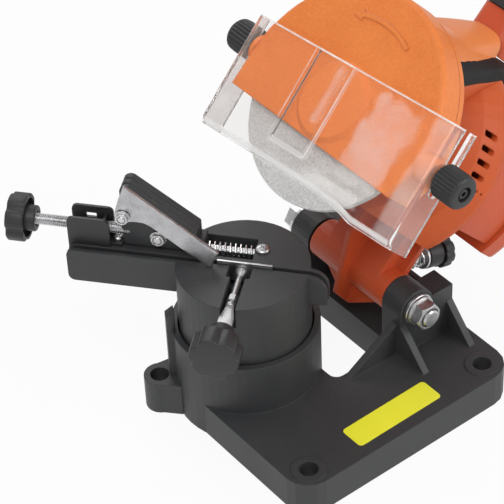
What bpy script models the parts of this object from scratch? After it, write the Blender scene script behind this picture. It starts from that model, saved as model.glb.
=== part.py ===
"""Electric chainsaw sharpener: a grinding head hinged over a turning chain vise.

Metres, +Z up. The origin lies on the underside of the base, midway between its two
front bolt holes. The user stands at -Y, and the head swings down towards -X.
"""

from math import acos, asin, atan2, cos, degrees, pi, radians, sin, sqrt, tan

import bmesh
import bpy
from mathutils import Matrix, Vector

# Clearances that every part shares
seat_gap = 0.0003
pin_gap = 0.0003
overrun = 0.002
round_steps = 36
small_steps = 14
ring_steps = 48
wheel_steps = 72
corner_steps = 4
round_profile = 0.5

# Base plate, its turntable ring and its bolt holes
base_left = -0.0703
base_right = 0.0712
base_front = -0.0116
base_back = 0.1254
notch_left = -0.0073
notch_right = 0.0317
notch_front = 0.0404
base_height = 0.020
base_wall = 0.004
base_skin = 0.004
front_corner = 0.014
back_corner = 0.008
notch_corner = 0.005
bolt_hole_half_spacing = 0.0581
bolt_hole_radius = 0.005
bolt_boss_radius = 0.009
boss_rise = 0.0006
rib_width = 0.004
ring_height = 0.0512
ring_radius = 0.0386
ring_wall = 0.0034
lug_x = -0.0741
lug_y = 0.1029
lug_radius = 0.0085
post_width = 0.006
post_reach = 0.0055

# Turntable: where it stands, how it is turned, and its chain rails
table_x = -0.0333
table_y = 0.0804
table_turn = -50.3
drum_gap = 0.0008
drum_radius = ring_radius - ring_wall - drum_gap
drum_top = 0.088
drum_roof = 0.026
drum_wall = 0.004
slot_front = 0.0022
slot_back = 0.0005
slot_floor = 0.066
rail_thickness = 0.0023
rail_drop = 0.020
rail_left = 0.0916
rail_corner = 0.0035
fin_reach = 0.0437
fin_drop = 0.0175
fin_radius = 0.009
ledge_depth = 0.013
ledge_thickness = 0.004
pocket_left = 0.025
pocket_right = 0.004
pocket_front = 0.004
pocket_back = 0.020
pocket_depth = 0.011
channel_centre = -0.0005
channel_width = 0.0077
channel_depth = 0.012
channel_flare = 0.0022
channel_flare_length = 0.006
pivot_radius = 0.003
pivot_boss_radius = 0.009
pivot_bolt_reach = 0.044
pivot_head_radius = 0.0055
pivot_head_height = 0.0045
pivot_washer_radius = 0.010
washer_thickness = 0.0016

# Bracket at the rails' left end, with the stop's adjusting screw
bracket_left = 0.0915
bracket_length = 0.022
bracket_height = 0.0172
bracket_front = -0.0012
bracket_back = 0.013
sheet = 0.0015
sheet_corner = 0.003
window_left = 0.084
window_right = 0.0785
window_low = 0.098
window_high = 0.101
bracket_tab = 0.006
screw_y = 0.0071
screw_z = 0.0968
adjust_radius = 0.003
hub_radius = 0.0068
hub_length = 0.0045
adjust_knob_left = 0.123
adjust_knob_length = 0.0095
adjust_knob_radius = 0.0127
knob_lobe_depth = 0.0013
knob_lobes = 6
small_head_radius = 0.0026
small_head_height = 0.0018
small_shank_radius = 0.0012
pan_share = 0.5

# Stop block that slides on the rear rail, and its return spring
block_left = 0.063
block_right = 0.022
block_front = 0.0045
block_back = 0.0170
block_shoulder = 0.110
block_peak = 0.1345
block_peak_x = 0.0535
block_left_height = 0.112
block_brow = 0.004
ridge_width = 0.0042
ridge_step = 0.0012
block_bolt_x = 0.0445
block_bolt_z = 0.0953
block_bolt_radius = 0.0022
block_bolt_hex = 0.0040
block_bolt_head = 0.0026
spring_y = 0.012
spring_z = 0.0855
lug_thickness = 0.0027
lug_drop = 0.010
lug_margin = 0.0012
spring_wire = 0.0010
spring_mean_radius = 0.0036
spring_turns = 9
spring_points = 9
rod_radius = 0.0022
rod_screw_x = 0.0076
rod_screw_radius = 0.0036
rod_screw_shank = 0.0014
rod_screw_depth = 0.006
rod_screw_height = 0.0020

# Pawl, the flat steel stop that the chain's cutter rests on
pawl_x = 0.060
pawl_z = 0.1135
pawl_slope = 39.0
pawl_thickness = 0.002
pawl_middle = -0.002
pawl_low = 0.0050
pawl_high = 0.0158
pawl_left = 0.0105
pawl_neck = 0.0101
pawl_heel_radius = 0.0043
pawl_bend = 0.0333
pawl_tip_top = 0.0478
pawl_tip_bottom = 0.0504
pawl_tip_out = 0.0028
pawl_tip_rise = 0.0032
pawl_pin_radius = 0.0020
pawl_nut_radius = 0.0036
pawl_nut_height = 0.0028

# Clamp that grips the chain in its slot
strip_left = 0.013
strip_right = 0.0155
strip_back = -0.0008
strip_thickness = 0.001
strip_top = 0.0902
strip_bottom = 0.078
clamp_z = 0.084
clamp_radius = 0.0021
clamp_start = 0.0021
clip_near = drum_radius - 0.0134
clip_thickness = 0.004
clip_radius = 0.0033
spade_sunk = 0.0074
spade_reach = 0.0066
spade_width = 0.0066
spade_flare = 0.0092
spade_thickness = 0.0026
clamp_hub_start = drum_radius + 0.0116
clamp_hub_radius = 0.0067
clamp_knob_start = clamp_hub_start + 0.009
clamp_knob_length = 0.0125

# Hinge of the head: ears on the base, bolt, washers and nut
hinge_x = 0.0407
hinge_z = 0.048
front_ear_front = 0.0319
front_ear_back = 0.0464
back_ear_front = 0.1069
back_ear_back = 0.1214
ear_left = 0.0297
ear_right = 0.0657
ear_top = 0.050
ear_radius = 0.011
hinge_bolt_radius = 0.005
hinge_washer_radius = 0.010
hinge_washer_thickness = 0.002
hinge_hex = 0.0085
hinge_head = 0.0064
hinge_nut_height = 0.0078
nut_flange_radius = 0.0095
nut_flange = 0.0015
hinge_bolt_end = 0.0015
gusset_width = 0.004
gusset_run = 0.0185
gusset_top = 0.040
side_gusset_run = 0.0324
side_gusset_y = 0.0390
wall_thickness = 0.003
wall_top = 0.038

# Depth stop screw in the wall between the ears
depth_y = 0.0764
depth_x = 0.0657
depth_z = 0.034
depth_fall = 15.0
depth_radius = 0.003
depth_tip = 0.0155
depth_boss_radius = 0.0075
depth_boss_back = 0.007
depth_boss_front = 0.004
depth_spring_end = 0.0178
depth_washer_radius = 0.007
depth_washer = 0.0012
depth_knob_start = 0.0195
depth_knob_length = 0.0165
depth_knob_radius = 0.0092
depth_spring_radius = 0.0048
depth_spring_wire = 0.0012
depth_spring_turns = 4

# Grinding head: its tilt, and the wheel's place seen from the hinge
head_tilt = -43.2
wheel_y = 0.0776
wheel_u = 0.0671
wheel_w = 0.0893
wheel_radius = 0.054
wheel_thickness = 0.0032
bore_radius = 0.0115
spindle_radius = 0.005
shoulder_radius = 0.008
inner_flange_radius = 0.016
inner_flange_thickness = 0.003
outer_flange_radius = 0.015
outer_flange_thickness = 0.0018
spindle_nut_radius = 0.0072
spindle_nut_height = 0.0026

# Wheel cover, in two moulded halves
cover_radius = 0.0628
cover_front = 0.005
cover_back = 0.014
cover_split = 0.0100
cover_wall = 0.0026
cover_cut = 0.022
cover_side = 0.063
cover_edge = 0.0035
cover_round = 0.0024
cover_bulge_radius = 0.019
cover_bulge = 0.0024
bulge_wall = 0.0022
back_hole_radius = 0.012
arrow_radius = 0.0460
arrow_from = -26.0
arrow_to = 18.0
arrow_width = 0.0024
arrow_head = 0.0060
arrow_height = 0.0009

# Guard of clear sheet, its knobs, and the bosses that carry it
guard_turn = 4.2
guard_top = 0.0202
guard_height = 0.065
guard_left = 0.067
guard_right = 0.0745
guard_sheet = 0.002
guard_front = 0.010
guard_back = 0.009
guard_step_left = 0.0185
guard_step_right = 0.004
guard_step = 0.0030
knob_axis_w = -0.002
stud_radius = 0.0027
slot_travel = 0.008
boss_radius = 0.0078
boss_bore_depth = 0.008
guard_knob_radius = 0.009
guard_knob_length = 0.015
knurl_depth = 0.0008
knurls = 18

# Motor housing, in a front bell, a rear shell and a rear cap
bell_radius = 0.0620
bell_flat = bell_radius * 0.597
bell_front = 0.0143
neck_radius = bell_radius * 0.484
bell_flare_start = 0.026
bell_mid_radius = bell_radius * 0.726
bell_mid = 0.031
bell_shoulder_radius = bell_radius * 0.919
bell_shoulder = 0.045
bell_back = 0.062
bell_wall = 0.0032
bell_cavity_front = 0.034
vent_w = 0.050
vent_length = 0.0075
vent_width = 0.0028
vent_first = 0.0285
vent_pitch = 0.0068
vents = 4
pin_holes = 4
pin_hole_u = 0.0015
pin_hole_w = 0.047
pin_hole_pitch = 0.0033
pin_hole_radius = 0.0007
shell_step = 0.0035
shell_radius = bell_radius - shell_step
shell_rear = 0.0057
shell_back = wheel_w + shell_rear
shell_flat = bell_radius * 0.3226
flange_thickness = 0.004
flange_step = 0.001
cap_lip = 0.0025
cap_radius = shell_radius + cap_lip
cap_length = 0.015
cap_back = shell_back + cap_length
cap_flat = bell_radius * 0.403
cap_edge = 0.006
cap_slots = 5
cap_slot_width = 0.0025
cap_slot_length = 0.030
cap_slot_pitch = 0.0075
cap_slot_depth = 0.0025
fan_room = 0.0018
fan_radius = bell_flat - bell_wall - fan_room
fan_back = 0.052
fan_thickness = 0.004

# Arm from the hinge barrel to the motor housing
barrel_radius = 0.011
barrel_front = 0.0307
barrel_back = 0.0278
arm_front = 0.0285
arm_back = 0.0248
arm_floor = 0.003
block_front_side = 0.0222
block_back_side = 0.0186
rib_y = -0.0017
arm_rib = 0.003
rib_top_a = 0.0133
rib_left_a = -0.0196
rib_left_c = 0.0063
rib_tip_a = -0.0213
rib_tip_c = -0.0074
heel_a = -0.0060
heel_c = -0.0129
web_mid_a = 0.0276
web_mid_c = -0.0013
web_top = 0.0018
web_thickness = 0.0035
fin_turn = 70.9
fin_reach_down = 0.0215
fin_tip_width = 0.006

# Saddle, dome and upright handle over the motor
saddle_thickness = 0.002
saddle_radius = bell_radius + saddle_thickness
saddle_front = 0.0152
saddle_front_half = 0.045
saddle_back_half = 0.021
dome_edge = 0.0008
dome_rise = 0.0065
dome_slope = 0.0265
dome_slope_start = 0.0135
dome_half = 0.040
dome_widest = 0.010
dome_length = 0.077
dome_sweep = 1.5
dome_rows = 9
dome_columns = 14
handle_front_w = 0.068
handle_corner = 0.007
handle_half_width = 0.0137
handle_depth = 0.029
handle_length = 0.084
handle_end_edge = 0.005
grip_from = 0.023
grip_to = 0.075
grip_wall = 0.0025
grip_swell = 0.0012
trigger_from = 0.032
trigger_to = 0.052
trigger_width = 0.011
trigger_out = 0.0045
trigger_in = 0.0065
trigger_travel = 0.0035
handle_u = saddle_radius - 0.002
handle_w = -handle_front_w - handle_depth / 2
handle_lean = 90.0

orange = (0.81, 0.23, 0.045)
orange_red = (0.485, 0.075, 0.022)
black = (0.032, 0.032, 0.034)
bright_steel = (0.62, 0.62, 0.63)
wheel_grey = (0.56, 0.56, 0.55)
clear_plastic = (0.80, 0.83, 0.84)


def clear_scene():
    for thing in list(bpy.data.objects):
        bpy.data.objects.remove(thing, do_unlink=True)


def paint(name, colour, roughness, metallic=0.0):
    surface = bpy.data.materials.new(name)
    surface.use_nodes = True
    shader = surface.node_tree.nodes["Principled BSDF"]
    shader.inputs["Base Color"].default_value = (*colour, 1.0)
    shader.inputs["Roughness"].default_value = roughness
    shader.inputs["Metallic"].default_value = metallic
    return surface


def frame(name, place, turn=(0, 0, 0), parent=None):
    """An empty that carries the pieces of one frame."""
    guide = bpy.data.objects.new(name, None)
    bpy.context.collection.objects.link(guide)
    guide.location = place
    guide.rotation_euler = turn
    guide.parent = parent
    return guide


def solid(name, shape, parent=None, place=(0, 0, 0), turn=(0, 0, 0), look=None):
    """An object from a finished bmesh; a look makes it a node, and none makes it a tool."""
    bmesh.ops.recalc_face_normals(shape, faces=shape.faces)
    mesh = bpy.data.meshes.new(name)
    shape.to_mesh(mesh)
    shape.free()
    body = bpy.data.objects.new(name, mesh)
    bpy.context.collection.objects.link(body)
    body.location = place
    body.rotation_euler = turn
    body.parent = parent
    if look is None:
        body.hide_render = True
        body.display_type = "WIRE"
    else:
        mesh.materials.append(paint(name, *look))
        mesh.shade_smooth()
        mesh.set_sharp_from_angle(angle=radians(30))
    return body


def combine(body, tool, operation):
    step = body.modifiers.new(tool.name, "BOOLEAN")
    step.operation = operation
    step.object = tool
    return body


def cut(body, *tools):
    for tool in tools:
        combine(body, tool, "DIFFERENCE")


def join(body, *tools):
    for tool in tools:
        combine(body, tool, "UNION")


def keep(body, tool):
    combine(body, tool, "INTERSECT")


def arc(centre_x, centre_y, radius, start, end, steps=corner_steps):
    """Points along an arc, with its angles in degrees."""
    points = []
    for step in range(steps + 1):
        angle = radians(start + (end - start) * step / steps)
        points.append((centre_x + radius * cos(angle), centre_y + radius * sin(angle)))
    return points


def circle(centre_x, centre_y, radius, steps=round_steps):
    return arc(centre_x, centre_y, radius, 0, 360, steps)[:-1]


def rounded(outline, radii):
    """The outline with its corners rounded; one radius for all, or one for each corner."""
    if not isinstance(radii, (list, tuple)):
        radii = [radii] * len(outline)
    points = []
    for index, corner in enumerate(outline):
        radius = radii[index]
        here = Vector(corner)
        before = (Vector(outline[index - 1]) - here).normalized()
        after = (Vector(outline[(index + 1) % len(outline)]) - here).normalized()
        if radius <= 0:
            points.append(tuple(here))
            continue
        half = acos(max(-1, min(1, before.dot(after)))) / 2
        centre = here + (before + after).normalized() * (radius / sin(half))
        first = here + before * (radius / tan(half)) - centre
        last = here + after * (radius / tan(half)) - centre
        start = atan2(first.y, first.x)
        sweep = atan2(last.y, last.x) - start
        sweep = (sweep + pi) % (2 * pi) - pi
        points += arc(centre.x, centre.y, radius, degrees(start), degrees(start + sweep))
    return points


def box_outline(left, right, low, high):
    return [(left, low), (right, low), (right, high), (left, high)]


def prism(outline, low, high, plane="XY"):
    """An outline drawn in a plane and extruded along the third axis."""
    order = {"XY": (0, 1, 2), "XZ": (0, 2, 1), "YZ": (2, 0, 1)}[plane]
    shape = bmesh.new()
    corners = []
    for first, second in outline:
        spot = (first, second, low)
        corners.append(shape.verts.new([spot[axis] for axis in order]))
    face = shape.faces.new(corners)
    grown = bmesh.ops.extrude_face_region(shape, geom=[face])
    moved = [part for part in grown["geom"] if isinstance(part, bmesh.types.BMVert)]
    rise = (0, 0, high - low)
    bmesh.ops.translate(shape, verts=moved, vec=[rise[axis] for axis in order])
    return shape


def turned(profile, along="Z", steps=round_steps):
    """A profile of (radius, height) points turned round an axis."""
    shape = bmesh.new()
    points = [shape.verts.new((radius, 0, height)) for radius, height in profile]
    edges = [shape.edges.new(pair) for pair in zip(points, points[1:])]
    if min(radius for radius, _ in profile) > 0:
        edges.append(shape.edges.new((points[-1], points[0])))
    bmesh.ops.spin(shape, geom=points + edges, cent=(0, 0, 0), axis=(0, 0, 1),
                   angle=2 * pi, steps=steps, use_merge=True)
    bmesh.ops.remove_doubles(shape, verts=shape.verts, dist=seat_gap / 30)
    if along == "X":
        bmesh.ops.rotate(shape, verts=shape.verts, matrix=Matrix.Rotation(pi / 2, 3, "Y"))
    if along == "Y":
        bmesh.ops.rotate(shape, verts=shape.verts, matrix=Matrix.Rotation(-pi / 2, 3, "X"))
    return shape


def rod(radius, low, high, along="Z", steps=round_steps, edge=0):
    """A plain cylinder, with an edge chamfered where one is given."""
    plane = {"X": "YZ", "Y": "XZ", "Z": "XY"}[along]
    shape = prism(circle(0, 0, radius, steps), low, high, plane)
    if edge > 0:
        axis = "XYZ".index(along)
        rims = [line for line in shape.edges
                if abs(line.verts[0].co[axis] - line.verts[1].co[axis]) < edge]
        bmesh.ops.bevel(shape, geom=rims, offset=edge, segments=1, affect="EDGES")
    return shape


def tube(inner, outer, low, high, along="Z", steps=round_steps):
    return turned([(inner, low), (outer, low), (outer, high), (inner, high)], along, steps)


def lobed(radius, depth, lobes, steps_each=8):
    """A round outline with even hollows between its lobes."""
    points = []
    count = lobes * steps_each
    for step in range(count):
        angle = 2 * pi * step / count
        reach = radius - depth * (1 - cos(lobes * angle)) / 2
        points.append((reach * cos(angle), reach * sin(angle)))
    return points


def hexagon(radius, centre_x=0, centre_y=0):
    """A hexagon from its radius over the corners."""
    return circle(centre_x, centre_y, radius, 6)


def coil(name, radius, wire, turns, start, length, parent, place, turn, look):
    """A spring round local Z: one unbroken tube whose end turns lie flat."""
    points = []
    count = turns * spring_points
    for step in range(count + 1):
        share = step / count
        angle = 2 * pi * turns * share
        rise = wire / 2 + (length - wire) * share
        points.append((radius * cos(angle), radius * sin(angle), start + rise))
    line = bpy.data.curves.new(name, "CURVE")
    line.dimensions = "3D"
    line.bevel_depth = wire / 2
    line.bevel_resolution = 1
    line.use_fill_caps = True
    line.materials.append(paint(name, *look))
    spline = line.splines.new("POLY")
    spline.points.add(count)
    for spot, point in zip(points, spline.points):
        point.co = (*spot, 1)
    body = bpy.data.objects.new(name, line)
    bpy.context.collection.objects.link(body)
    body.location = place
    body.rotation_euler = turn
    body.parent = parent
    least = least_gap(points, wire)
    print(f"{name}: least gap between its turns {least * 1000:.2f} mm")
    return body


def least_gap(points, wire):
    """The least clear distance between points that are half a turn or more apart."""
    least = None
    apart = spring_points // 2
    for index, spot in enumerate(points):
        for other in points[index + apart:]:
            distance = (Vector(spot) - Vector(other)).length - wire
            least = distance if least is None else min(least, distance)
    return least


def plan_outline(inset):
    """The base plate seen from above, with every edge moved in by the inset."""
    left = base_left + inset
    right = base_right - inset
    front = base_front + inset
    corners = [
        (left, front),
        (right, front),
        (right, base_back - inset),
        (notch_right + inset, base_back - inset),
        (notch_right + inset, notch_front - inset),
        (notch_left - inset, notch_front - inset),
        (notch_left - inset, table_y),
        (left, table_y),
    ]
    radii = [front_corner - inset, front_corner - inset, back_corner - inset,
             back_corner - inset, 0, notch_corner + inset, 0, 0]
    return rounded(corners, radii)


def ear_outline():
    """One hinge ear seen from the front: a block with the round boss on its top."""
    reach = sqrt(ear_radius ** 2 - (ear_top - hinge_z) ** 2)
    rise = degrees(asin((ear_top - hinge_z) / ear_radius))
    points = [(ear_left, base_height - base_skin), (ear_right, base_height - base_skin),
              (ear_right, ear_top), (hinge_x + reach, ear_top)]
    points += arc(hinge_x, hinge_z, ear_radius, rise, 180, 12)[1:]
    return points


def make_base():
    look = (black, 0.55)
    sunk = base_height - base_skin / 2
    base = solid("base", prism(plan_outline(0), 0, base_height), look=look)
    ring = rod(ring_radius, 0, ring_height, steps=ring_steps)
    lug = prism(lug_outline(0), 0, base_height)
    post = prism(rounded(post_outline(), 0), sunk, ring_height)
    join(base,
         solid("base_ring", ring, place=(table_x, table_y, 0)),
         solid("base_lug", lug),
         solid("base_post", post))
    for name, front, back in (("front", front_ear_front, front_ear_back),
                              ("back", back_ear_front, back_ear_back)):
        join(base, solid(f"base_ear_{name}", prism(ear_outline(), front, back, "XZ")))
    wall = box_outline(ear_right - wall_thickness, ear_right, sunk, wall_top)
    join(base, solid("base_wall", prism(wall, front_ear_back - overrun,
                                        back_ear_front + overrun, "XZ")))
    join_gussets(base, sunk)
    boss = rod(depth_boss_radius, -depth_boss_back, depth_boss_front, "X", small_steps)
    join(base, solid("base_depth_boss", boss, depth_frame))
    hollow = solid("base_hollow", prism(plan_outline(base_wall), -overrun,
                                        base_height - base_skin))
    join(hollow, solid("ring_hollow", rod(ring_radius - base_wall, -overrun,
                                          base_height - base_skin, steps=ring_steps),
                       place=(table_x, table_y, 0)))
    cut(base,
        solid("ring_bore", rod(ring_radius - ring_wall, base_height,
                               ring_height + overrun, steps=ring_steps),
              place=(table_x, table_y, 0)),
        hollow)
    join_underside(base)
    holes = [(-bolt_hole_half_spacing, 0), (bolt_hole_half_spacing, 0), (lug_x, lug_y)]
    for index, (hole_x, hole_y) in enumerate(holes):
        hole = rod(bolt_hole_radius, -overrun, base_height + boss_rise + overrun,
                   steps=24)
        cut(base, solid(f"base_hole_{index}", hole, place=(hole_x, hole_y, 0)))
    cut(base,
        solid("pivot_hole", rod(pivot_radius + pin_gap, -overrun,
                                base_height + overrun, steps=small_steps),
              place=(table_x, table_y, 0)),
        solid("ear_hole", rod(hinge_bolt_radius + pin_gap, front_ear_front - overrun,
                              back_ear_back + overrun, "Y", 24),
              place=(hinge_x, 0, hinge_z)),
        solid("depth_hole", rod(depth_radius + pin_gap, -depth_boss_back - overrun,
                                depth_boss_front + overrun, "X", small_steps),
              depth_frame))


def lug_outline(inset):
    """The rear lug: a round end joined to the ring by a tapering neck."""
    away = Vector((lug_x - table_x, lug_y - table_y))
    side = Vector((-away.y, away.x)).normalized()
    root = Vector((table_x, table_y)) + away.normalized() * (ring_radius - ring_wall / 2)
    turn = degrees(atan2(away.y, away.x))
    points = arc(lug_x, lug_y, lug_radius - inset, turn - 90, turn + 90, 14)
    wide = lug_radius + ring_wall
    return points + [tuple(root + side * wide), tuple(root - side * wide)]


def post_outline():
    """The upright rib on the ring's left side, above the lug."""
    away = Vector((lug_x - table_x, lug_y - table_y)).normalized()
    side = Vector((-away.y, away.x)) * (post_width / 2)
    centre = Vector((table_x, table_y))
    near = centre + away * (ring_radius - ring_wall / 2)
    far = centre + away * (ring_radius + post_reach / 2)
    return [tuple(near - side), tuple(far - side), tuple(far + side), tuple(near + side)]


def join_gussets(base, sunk):
    """Sloping ribs that stiffen the two ears."""
    for name, face, way in (("front", front_ear_front, -1), ("back", back_ear_back, 1)):
        room = abs(base_back - back_ear_back) if way > 0 else gusset_run
        for side, left in (("left", ear_left), ("right", ear_right - gusset_width)):
            outline = [(face - way * overrun, sunk), (face + way * room, sunk),
                       (face + way * room, base_height), (face, gusset_top),
                       (face - way * overrun, gusset_top)]
            rib = prism(outline, left, left + gusset_width, "YZ")
            join(base, solid(f"base_gusset_{name}_{side}", rib))
    outline = [(ear_left + overrun, sunk), (ear_left - side_gusset_run, sunk),
               (ear_left - side_gusset_run, base_height), (ear_left, gusset_top),
               (ear_left + overrun, gusset_top)]
    rib = prism(outline, side_gusset_y - gusset_width, side_gusset_y, "XZ")
    join(base, solid("base_gusset_side", rib))


def join_underside(base):
    """Bosses and ribs inside the hollow plate."""
    roof = base_height - base_skin / 2
    half = rib_width / 2
    spots = [(-bolt_hole_half_spacing, 0), (bolt_hole_half_spacing, 0)]
    for index, (spot_x, spot_y) in enumerate(spots):
        boss = rod(bolt_boss_radius, 0, base_height + boss_rise, steps=24)
        join(base, solid(f"base_boss_{index}", boss, place=(spot_x, spot_y, 0)))
    front_rib = box_outline(-bolt_hole_half_spacing, bolt_hole_half_spacing, -half, half)
    join(base, solid("base_rib_front", prism(front_rib, 0, roof)))
    inner_left = base_left + base_wall / 2
    inner_front = base_front + base_wall / 2
    cross = {
        "mid": box_outline(notch_left - half, notch_left + half, inner_front, notch_front),
        "right": box_outline(notch_right - half, notch_right + half, inner_front,
                             notch_front),
        "left": box_outline(inner_left, notch_left, notch_front - half,
                            notch_front + half),
        "arm": box_outline(notch_right + half, base_right - half,
                           front_ear_back - half, front_ear_back + half),
        "rear": box_outline(notch_right + half, base_right - half,
                            back_ear_front - half, back_ear_front + half),
    }
    for name, outline in cross.items():
        join(base, solid(f"base_rib_{name}", prism(outline, base_skin, roof)))
    hub = rod(pivot_boss_radius, base_skin * 3, roof, steps=24)
    join(base, solid("base_hub", hub, place=(table_x, table_y, 0)))


def make_hinge_bolt():
    """The bolt through the ears and the barrel, with its washers and nut."""
    steel = (bright_steel, 0.3, 1.0)
    at = (hinge_x, 0, hinge_z)
    behind = back_ear_back + seat_gap
    ahead = front_ear_front - seat_gap
    for name, low in (("washer_back", behind),
                      ("washer_front", ahead - hinge_washer_thickness)):
        ring = tube(hinge_bolt_radius + pin_gap, hinge_washer_radius, low,
                    low + hinge_washer_thickness, "Y", 24)
        solid(name, ring, place=at, look=steel)
    head = behind + hinge_washer_thickness + seat_gap
    nut = ahead - hinge_washer_thickness - seat_gap
    end = nut - hinge_nut_height - hinge_bolt_end
    bolt = solid("hinge_bolt", rod(hinge_bolt_radius, end, head + hinge_head / 2, "Y",
                                   24, hinge_bolt_end / 2), place=at, look=steel)
    join(bolt, solid("bolt_hex", prism(hexagon(hinge_hex), head, head + hinge_head,
                                       "XZ"), place=at))
    body = solid("hinge_nut", prism(hexagon(hinge_hex), nut - hinge_nut_height, nut,
                                    "XZ"), place=at, look=steel)
    join(body, solid("nut_flange", rod(nut_flange_radius, nut - nut_flange, nut, "Y",
                                       24), place=at))
    cut(body, solid("nut_bore", rod(hinge_bolt_radius + pin_gap, end - overrun,
                                    nut + overrun, "Y", 24), place=at))


def rail_outline(fin_top):
    """A chain rail seen from the front, with its fin at the right end."""
    low = drum_top - rail_drop
    corners = [(-rail_left, low), (fin_reach, drum_top - fin_drop),
               (fin_reach, fin_top), (-rail_left, fin_top)]
    corners.insert(1, (0, low))
    return rounded(corners, [rail_corner, 0, overrun / 2, fin_radius, rail_corner])


def make_turntable():
    look = (black, 0.5)
    drum = rod(ring_radius - ring_wall - drum_gap, base_height + seat_gap, drum_top,
               steps=ring_steps)
    table = solid("turntable", drum, table_frame, look=look)
    front_rail = prism(rail_outline(drum_top), -slot_front - rail_thickness,
                       -slot_front, "XZ")
    rear_rail = prism(rail_outline(drum_top), slot_back, slot_back + rail_thickness,
                      "XZ")
    ledge = prism(rounded(box_outline(slot_back + overrun / 2, ledge_depth,
                                      drum_top - ledge_thickness, drum_top), 0),
                  -rail_left, 0, "YZ")
    ledge_rib = [(-rail_left + rail_corner, drum_top - ledge_thickness - rail_drop / 2),
                 (-rail_left + rail_corner + rib_width / 2,
                  drum_top - ledge_thickness - rail_drop / 2),
                 (-rail_left + rail_corner + rib_width / 2, drum_top - overrun / 2),
                 (-rail_left + rail_corner, drum_top - overrun / 2)]
    join(table,
         solid("front_rail", front_rail, table_frame),
         solid("rear_rail", rear_rail, table_frame),
         solid("rear_ledge", ledge, table_frame),
         solid("ledge_rib", prism(ledge_rib, slot_back + overrun / 2,
                                  ledge_depth - overrun / 2, "XZ"), table_frame))
    slot = box_outline(-rail_left - overrun, fin_reach + overrun, slot_floor,
                       drum_top + overrun)
    pocket = box_outline(-pocket_left, pocket_right, drum_top - pocket_depth,
                         drum_top + overrun)
    channel_left = channel_centre - channel_width / 2
    channel_right = channel_centre + channel_width / 2
    channel = box_outline(channel_left, channel_right, drum_top - channel_depth,
                          drum_top + overrun)
    flare = box_outline(channel_left - channel_flare, channel_right + channel_flare,
                        drum_top - channel_depth, drum_top + overrun)
    hollow = tube(pivot_boss_radius, ring_radius - ring_wall - drum_gap - drum_wall,
                  base_height - overrun, drum_top - drum_roof)
    boss_relief = rod(pivot_boss_radius + overrun, base_height - overrun,
                      base_height + seat_gap + overrun / 2)
    bore = rod(pivot_radius + pin_gap, base_height - overrun,
               pivot_bolt_reach + overrun / 2, steps=small_steps)
    reach = ring_radius + overrun
    rim = slot_front + rail_thickness
    cut(table,
        solid("chain_slot", prism(slot, -slot_front, slot_back, "XZ"), table_frame),
        solid("spring_pocket", prism(pocket, pocket_front, pocket_back, "XZ"),
              table_frame),
        solid("rod_channel", prism(channel, -reach, -slot_front + overrun / 2, "XZ"),
              table_frame),
        solid("channel_flare", prism(flare, -rim - channel_flare_length,
                                     -slot_front + overrun / 2, "XZ"), table_frame),
        solid("drum_hollow", hollow, table_frame),
        solid("pivot_bore", bore, table_frame))
    screw_hole = rod(small_shank_radius + pin_gap, drum_top - ledge_thickness - overrun,
                     drum_top + overrun, steps=12)
    rod_hole = rod(rod_screw_shank + pin_gap, drum_top - rod_screw_depth - seat_gap,
                   drum_top + overrun, steps=12)
    cut(table,
        solid("tab_screw_hole", screw_hole, table_frame, (tab_screw_x, screw_y, 0)),
        solid("rod_screw_hole", rod_hole, table_frame, (rod_screw_x, spring_y, 0)))


def make_pivot():
    """The bolt and washer that hold the turntable down from below."""
    steel = (bright_steel, 0.35, 1.0)
    roof = base_skin * 3 - seat_gap
    washer = tube(pivot_radius + pin_gap, pivot_washer_radius, roof - washer_thickness,
                  roof, steps=24)
    solid("pivot_washer", washer, table_frame, look=steel)
    head = roof - washer_thickness - seat_gap
    bolt = solid("pivot_bolt", rod(pivot_radius, head - pivot_head_height / 2,
                                   pivot_bolt_reach, steps=small_steps), table_frame,
                 look=steel)
    join(bolt, solid("pivot_hex", prism(hexagon(pivot_head_radius),
                                        head - pivot_head_height, head), table_frame))


def make_bracket():
    """The folded channel whose end wall guides the adjusting screw."""
    low = drum_top + seat_gap
    top = drum_top + bracket_height
    left = -bracket_left
    right = -bracket_left + bracket_length
    look = (black, 0.45)
    outline = [(bracket_front * -1, low), (bracket_back, low), (bracket_back, top),
               (bracket_front * -1, top)]
    bracket = solid("stop_bracket", prism(outline, left, right, "YZ"), table_frame,
                    look=look)
    inner = box_outline(-bracket_front + sheet, bracket_back - sheet, low + sheet,
                        top + overrun)
    trim = rounded(box_outline(left, right, low, top), [0, 0, sheet_corner,
                                                        sheet_corner])
    guard_keep = prism(trim, -bracket_front - overrun, bracket_back + overrun, "XZ")
    tab = box_outline(-bracket_front + sheet, bracket_back - sheet, low, low + sheet)
    wall = box_outline(-bracket_front + sheet / 2, bracket_back - sheet / 2,
                       low + sheet / 2, screw_z + adjust_radius + sheet)
    window = box_outline(-window_left, -window_right, window_low, window_high)
    cut(bracket, solid("bracket_inner", prism(inner, left - overrun, right + overrun,
                                              "YZ"), table_frame))
    keep(bracket, solid("bracket_trim", guard_keep, table_frame))
    join(bracket,
         solid("bracket_tab", prism(tab, right - overrun / 2, right + bracket_tab,
                                    "YZ"), table_frame),
         solid("bracket_wall", prism(wall, right - sheet * 3, right - sheet * 2, "YZ"),
               table_frame))
    cut(bracket,
        solid("bracket_window", prism(window, bracket_back - sheet - overrun,
                                      bracket_back + overrun, "XZ"), table_frame),
        solid("bracket_bore", rod(adjust_radius + pin_gap, left, right + overrun, "X",
                                  small_steps), table_frame, (0, screw_y, screw_z)),
        solid("tab_hole", rod(small_shank_radius + pin_gap, low - overrun,
                              low + sheet + overrun, steps=12), table_frame,
              (tab_screw_x, screw_y, 0)))
    pan_screw("bracket_screw", small_head_radius, small_head_height, small_shank_radius,
              low + sheet + seat_gap, drum_top - ledge_thickness,
              (tab_screw_x, screw_y, 0))


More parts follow.
